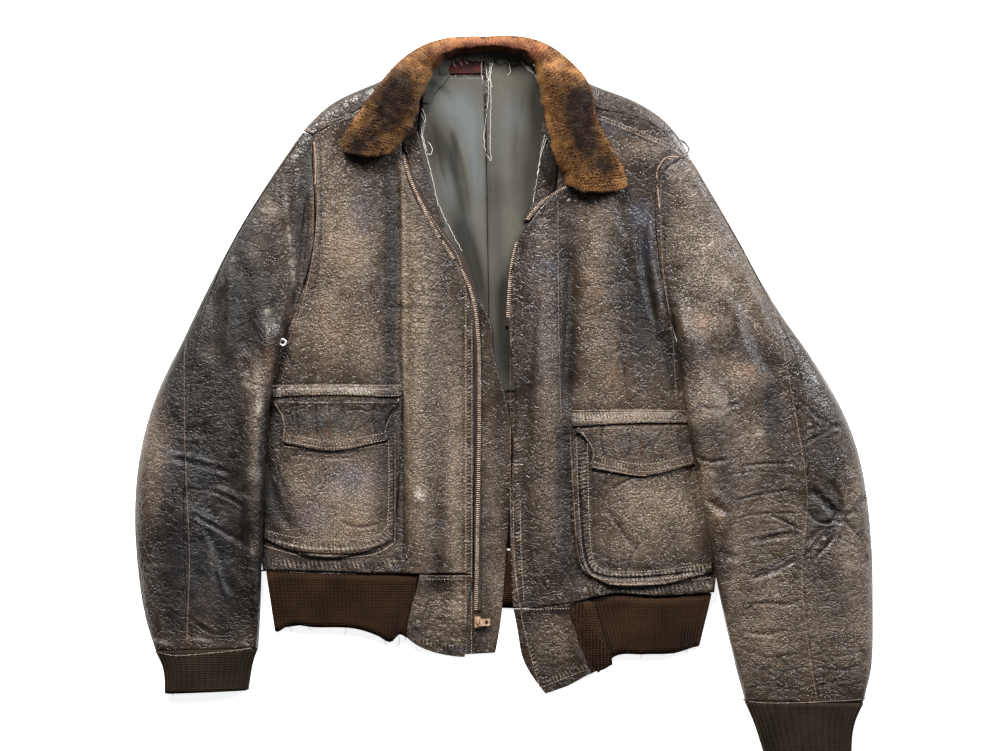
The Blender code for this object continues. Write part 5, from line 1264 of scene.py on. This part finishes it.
def cord(name, radius, lines, look, lift=0.0, wiggle=0.0, tree=allTop):
    # Piping and loose threads: each line lies on the cloth, and wiggles by that many millimetres
    data = bpy.data.curves.new(name, "CURVE")
    data.dimensions = "3D"
    data.bevel_depth = radius * mm
    data.bevel_resolution = 1
    data.use_fill_caps = True
    for k, line in enumerate(lines):
        places = alongLine(line, max(0.9, 2.2 * radius), tree, lift, 3)
        points = np.array([place[0] for place in places])
        points[:, 2] = np.convolve(np.pad(points[:, 2], 2, "edge"), np.ones(5) / 5, "valid")
        walk = np.arange(len(points)) * 0.9 * mm + k * 0.05
        walk = np.stack([walk, np.full(len(points), k * 0.013)], axis=1)
        points[:, 0] += wiggle * mm * waves(walk, 4.0, 61)
        points[:, 1] += wiggle * mm * waves(walk, 4.0, 62)
        points[:, 2] += np.abs(wiggle) * 0.5 * mm * (1 + waves(walk, 4.0, 63))
        spline = data.splines.new("POLY")
        spline.points.add(len(points) - 1)
        spline.points.foreach_set("co", np.concatenate([points, np.ones((len(points), 1))], axis=1).ravel())
    makeActive(linked(name, data))
    bpy.ops.object.convert(target="MESH")
    piece = bpy.context.object
    dress(piece, look)
    piece.data.shade_smooth()
    paint(piece, shaded=0.25)
    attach(piece, "jacket")


pipings = {
    "piping_pocket_right": (1.0, seamHide, [
        [(263, 545), (300, 556), (345, 558), (380, 554), (395, 542)], [(395.5, 432), (396, 480), (395, 541)],
        [(272, 386), (340, 386.5), (402, 385.5)],
        [(284, 446), (308, 449), (331, 452), (360, 449), (389, 443)], [(275, 401), (287, 421), (284, 445)],
        [(400, 398), (384, 430), (389, 442)], [(262, 570), (320, 573), (394, 573)],
    ]),
    "piping_pocket_left": (1.05, seamHide, [
        [(570, 430), (574, 515), (579, 568), (597, 583), (650, 584), (711, 577)],
        [(571, 411), (630, 410), (685, 411)], [(577, 427), (595, 450), (590, 465)],
        [(590, 466), (615, 471), (642, 476), (668, 472), (694, 466), (687, 441)],
    ]),
    "piping_fronts": (0.8, seamHide, [
        [(557.5, 200), (558, 300), (559, 360), (561, 420)],
        [(511, 330), (510, 480), (511, 540), (518, 600), (523, 612)],
        [(594, 119), (620, 129), (650, 141), (682, 156)], [(384, 106), (352, 119), (320, 129)],
        [(660, 172), (660, 220), (661, 250), (664, 290), (672, 330), (676, 400)],
        [(316, 140), (319, 190), (317, 240), (306, 300), (288, 345)],
        [
            (766, 290), (776, 320), (784, 364), (794, 420), (803, 472), (806, 508), (799, 556), (800, 604),
            (808, 660), (815, 697),
        ],
        [
            (189, 340), (186, 358), (187, 400), (187, 432), (188, 463), (190, 505), (192, 548), (191, 586),
            (189, 625), (189, 643),
        ],
        [(158, 651), (175, 655), (200, 653), (230, 650), (253, 647)],
        [(742, 699), (760, 702), (800, 701), (830, 700), (866, 698)],
    ]),
    "piping_sleeve_head": (0.9, rimHide, [
        [(656, 172), (662, 160), (672, 157), (690, 161)], [(656, 172), (657, 190), (659, 210)],
        [(308, 129), (313, 134), (316, 150), (317, 180), (314, 200)],
    ]),
}
for name, (radius, look, lines) in pipings.items():
    cord(name, radius, lines, look, lift=-0.25 * radius)

stitchRows = {
    "stitches_fronts": [
        [(466, 290), (466, 400), (466, 500), (466, 655)], [(472, 300), (472, 400), (472, 500), (471.5, 655)],
        [(404, 168), (416, 192), (430, 216), (444, 236), (458, 254), (465, 280)],
        [(513, 500), (514, 560), (521, 620), (540, 688)], [(520, 500), (521, 560), (524, 600)],
        [(540, 688), (560, 680), (590, 668)], [(400, 578), (430, 578), (464, 579)],
        [(524, 609), (548, 608), (570, 607)], [(594, 115), (620, 125), (650, 137), (682, 151)],
        [(384, 103), (352, 116), (320, 126)],
    ],
    "stitches_pockets": [
        [(274, 389.5), (330, 390), (400, 389)], [(274, 396), (330, 397), (400, 395.5)],
        [(287, 441), (310, 445), (331, 448.5), (360, 445), (386, 439.5)],
        [(289, 435), (310, 438), (331, 442), (360, 438), (384, 433)],
        [(266, 530), (300, 538), (345, 540), (378, 536), (388, 526)], [(389, 440), (390, 480), (388, 526)],
        [(573, 413.5), (630, 412), (684, 413.5)], [(573, 420.5), (630, 420), (684, 420.5)],
        [(593, 462), (615, 467), (642, 472.5), (668, 467.5), (691, 462)],
        [(595, 456), (615, 460), (642, 465), (668, 460), (690, 455)],
        [(587, 440), (588, 500), (590, 556), (600, 571), (650, 571), (706, 563)],
        [(576, 437), (578, 505), (583, 568), (600, 580), (650, 580), (709, 572)],
    ],
}
stitchPitch = 3.3  # mm from one stitch to the next
for name, lines in stitchRows.items():
    places = [p for line in lines for p in alongLine(line, stitchPitch, bodyTop, 0.15)]
    stamp(name, stitchModel, places, threadPaint)

looseThreads = {
    "white_threads": (0.28, whiteThread, "lining", 1.0, [
        [(422, 108), (427, 120), (420, 130), (425, 150), (432, 175), (437, 200)],
        [(421, 112), (426, 124), (422, 134), (427, 152)], [(428, 143), (433, 147), (432, 156), (427, 154)],
        [(437, 200), (446, 222), (456, 240), (462, 252)],
        [(545, 135), (541, 150), (539, 168), (535, 190), (533, 203)], [(546, 139), (540, 158), (537, 180)],
        [(485, 60), (488, 80), (489, 100), (485, 120), (484, 150), (490, 162)],
        [(490, 60), (491, 100), (490, 140), (491, 162)], [(455, 52), (452, 60), (456, 68)],
        [(460, 54), (458, 62), (463, 66)], [(484, 58), (480, 70), (484, 84)],
        [(489, 56), (492, 70), (488, 82)], [(500, 58), (508, 64), (520, 62)],
        [(504, 56), (512, 70), (508, 76)], [(516, 56), (524, 66), (530, 72)],
        [(470, 54), (476, 60), (486, 62)], [(520, 60), (534, 74), (540, 82)],
        [(448, 58), (442, 66), (446, 76)], [(466, 52), (464, 60), (468, 64)],
        [(494, 62), (488, 74), (492, 88)],
    ]),
    "dark_threads": (0.22, knitThread, "knit", 1.2, [
        [(276, 628), (277, 634), (275, 640)], [(310, 622), (309, 627), (312, 631)],
        [(345, 626), (347, 631), (344, 634)], [(385, 638), (386, 644), (389, 648)],
        [(398, 634), (400, 640), (398, 645)], [(403, 630), (406, 636), (405, 640)],
        [(674, 640), (676, 648), (673, 655)], [(684, 640), (688, 647), (686, 654)],
        [(690, 640), (696, 646), (694, 652)], [(640, 648), (642, 654), (640, 659)],
        [(612, 664), (614, 670), (611, 674)], [(660, 644), (659, 650), (662, 655)],
        [(172, 686), (171, 692), (174, 696)], [(248, 684), (250, 690), (248, 694)],
        [(290, 622), (289, 628), (292, 631)],
    ]),
}
for name, (radius, look, slot, wiggle, lines) in looseThreads.items():
    cord(name, radius, lines, look, lift=radius, wiggle=wiggle)
cord("buttonhole_right", 0.55, [[(330.5, 415), (330.5, 426), (330.5, 437)]], redThread, 0.2)
cord("buttonhole_left", 0.55, [[(640.5, 437), (640.5, 449), (640.5, 461)]], redThread, 0.2)
shoulderLoop = [(679, 139), (686, 143), (690, 150), (684, 157), (679, 150)]
cord("shoulder_loop", 1.3, [shoulderLoop], darkHide, 0.8)


# Cloth that shows only from above: torn lining round the neck, and the knit's turned end

ribPitch = 4  # mm from one rib of the knit to the next


def flatPiece(name, outline, look, lift, thick=0.8):
    # Cuts a piece to its outline and lays it lift mm over the cloth below
    bm = bmesh.new()
    path = spots(outline + outline[:1])
    quarters = (0, 0.25, 0.5, 0.75)
    steps = [path[k] + (path[k + 1] - path[k]) * t for k in range(len(outline)) for t in quarters]
    bm.faces.new([bm.verts.new((x, y, 0)) for x, y in steps])
    bmesh.ops.triangulate(bm, faces=bm.faces[:])
    for _ in range(5):
        long = [e for e in bm.edges if e.calc_length() > 2.4 * mm]
        if long:
            bmesh.ops.subdivide_edges(bm, edges=long, cuts=1)
            bmesh.ops.triangulate(bm, faces=bm.faces[:])
    bmesh.ops.recalc_face_normals(bm, faces=bm.faces[:])
    if sum(f.normal.z for f in bm.faces) < 0:
        bmesh.ops.reverse_faces(bm, faces=bm.faces[:])
    mesh = bpy.data.meshes.new(name)
    bm.to_mesh(mesh)
    bm.free()
    points = pointsOf(mesh)
    tops = np.array([topAt(allTop, x, y) for x, y, z in points])
    tops = np.maximum(tops, np.median(tops) - 1.5 * mm)
    pairs = np.array([e.vertices[:] for e in mesh.edges])
    smooth = tops.copy()
    for _ in range(4):
        smooth = np.maximum(neighbourMean(smooth, pairs), tops)
    points[:, 2] = smooth + (lift + thick) * mm + 0.5 * mm * (1 + waves(points[:, :2], 9, 71))
    setPoints(mesh, points)
    piece = linked(name, mesh)
    makeActive(piece)
    modifier = piece.modifiers.new("Thickness", "SOLIDIFY")
    modifier.thickness = thick * mm
    modifier.offset = -1
    bpy.ops.object.modifier_apply(modifier=modifier.name)
    mesh.materials.append(look)
    mesh.shade_smooth()
    paint(piece, lining=look is cotton)
    # rib height, for the knit's painted light on rib tops and shade between them
    storeValues(mesh, "rib", 0.5 + 0.5 * np.cos(pointsOf(mesh)[:, 0] * math.tau / (ribPitch * mm)))
    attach(piece, "jacket")


flatPiece("torn_lining_side", [
    (422, 84), (428, 68), (438, 58), (450, 52), (453, 60), (448, 70), (450, 76), (444, 84), (436, 92),
    (429, 104), (423, 104),
], cotton, 0.2)
flatPiece("torn_lining_top", [
    (449, 52), (460, 50), (475, 52), (490, 51), (510, 51), (530, 52), (543, 58), (545, 66), (538, 63),
    (530, 66), (522, 60), (514, 67), (507, 60), (500, 66), (494, 60), (488, 65), (480, 59), (472, 63),
    (464, 58), (455, 63),
], cotton, 0.6)
flatPiece("turned_knit", [
    (569, 602), (569, 613), (575, 629), (579, 643), (585, 656), (592, 671), (604, 668), (612, 663),
    (611, 653), (606, 645), (597, 634), (590, 625), (585, 612), (582, 601),
], bandKnit, 0.3, 1.6)

# Hard parts are shown as their solids, with a finish of their own
hardParts = {
    "zip_slider": brass, "pull_tab": brass, "eyelet_right": steel, "button_right": horn, "button_left": horn,
}
for node, look in hardParts.items():
    dress(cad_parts[node], look)

zipLines = {
    "zip_teeth_right": [
        (403, 156), (406, 166), (412, 184), (420, 202), (430, 222), (442, 242), (455, 261), (466, 278),
        (473, 297), (477, 320), (479.5, 354), (479.5, 420), (478, 500), (477, 560), (476, 612),
    ],
    "zip_teeth_left": [
        (567, 188), (556, 194), (545, 200), (534, 211), (526, 222), (519, 238), (514, 254), (511, 272),
        (509, 292), (508, 318),
    ],
}
toothPitch = 2.3  # mm from one tooth to the next
for name, line in zipLines.items():
    stamp(name, toothModel, alongLine(line, toothPitch, bodyTop, 0.5), chainPaint)
print("stitched")


# Camera, floor and lights

bpy.ops.object.select_all(action="DESELECT")
bpy.ops.mesh.primitive_plane_add(size=8, location=(0, 0, -0.0005))
floor = bpy.context.object
floor.name = "floor"
floorPaint = Paint("pale_floor")
floor.data.materials.append(floorPaint.finish(
    Base_Color=(0.93, 0.93, 0.93, 1), Roughness=0.9, Emission_Color=(1, 1, 1, 1), Emission_Strength=0.85,
))
floor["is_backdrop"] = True

cameraData = bpy.data.cameras.new("camera")
cameraData.sensor_width = 36
cameraData.lens = 93.9
camera = linked("camera", cameraData)
camera.location = (-4.26 * mm, 27.3 * mm, 3.0)
bpy.context.scene.camera = camera

lights = {
    "key": dict(at=(-1.0, 2.6, 2.3), size=1.1, power=300, colour=(1.0, 0.965, 0.91)),
    "sky": dict(at=(2.0, 1.6, 1.7), size=1.1, power=138, colour=(0.92, 0.95, 1.0)),
    "overhead": dict(at=(-0.15, 0.3, 3.7), size=3.4, power=4.5, colour=(1.0, 0.985, 0.96)),
}
for name, light in lights.items():
    data = bpy.data.lights.new(name, "AREA")
    data.size = light["size"]
    data.energy = light["power"]
    data.color = light["colour"]
    lamp = linked(name, data)
    lamp.location = light["at"]
    lamp.rotation_euler = (-Vector(light["at"])).to_track_quat("-Z", "Y").to_euler()
world = bpy.context.scene.world or bpy.data.worlds.new("studio")
bpy.context.scene.world = world
world.use_nodes = True
background = world.node_tree.nodes["Background"]
background.inputs["Color"].default_value = (0.95, 0.97, 1.0, 1)
background.inputs["Strength"].default_value = 0.05
bpy.context.scene.view_settings.view_transform = "Standard"
print("camera and lights set")

triangles = 0
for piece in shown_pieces():
    if piece.type == "MESH":
        triangles += len(piece.data.loop_triangles) or sum(len(f.vertices) - 2 for f in piece.data.polygons)
print("triangles", triangles)
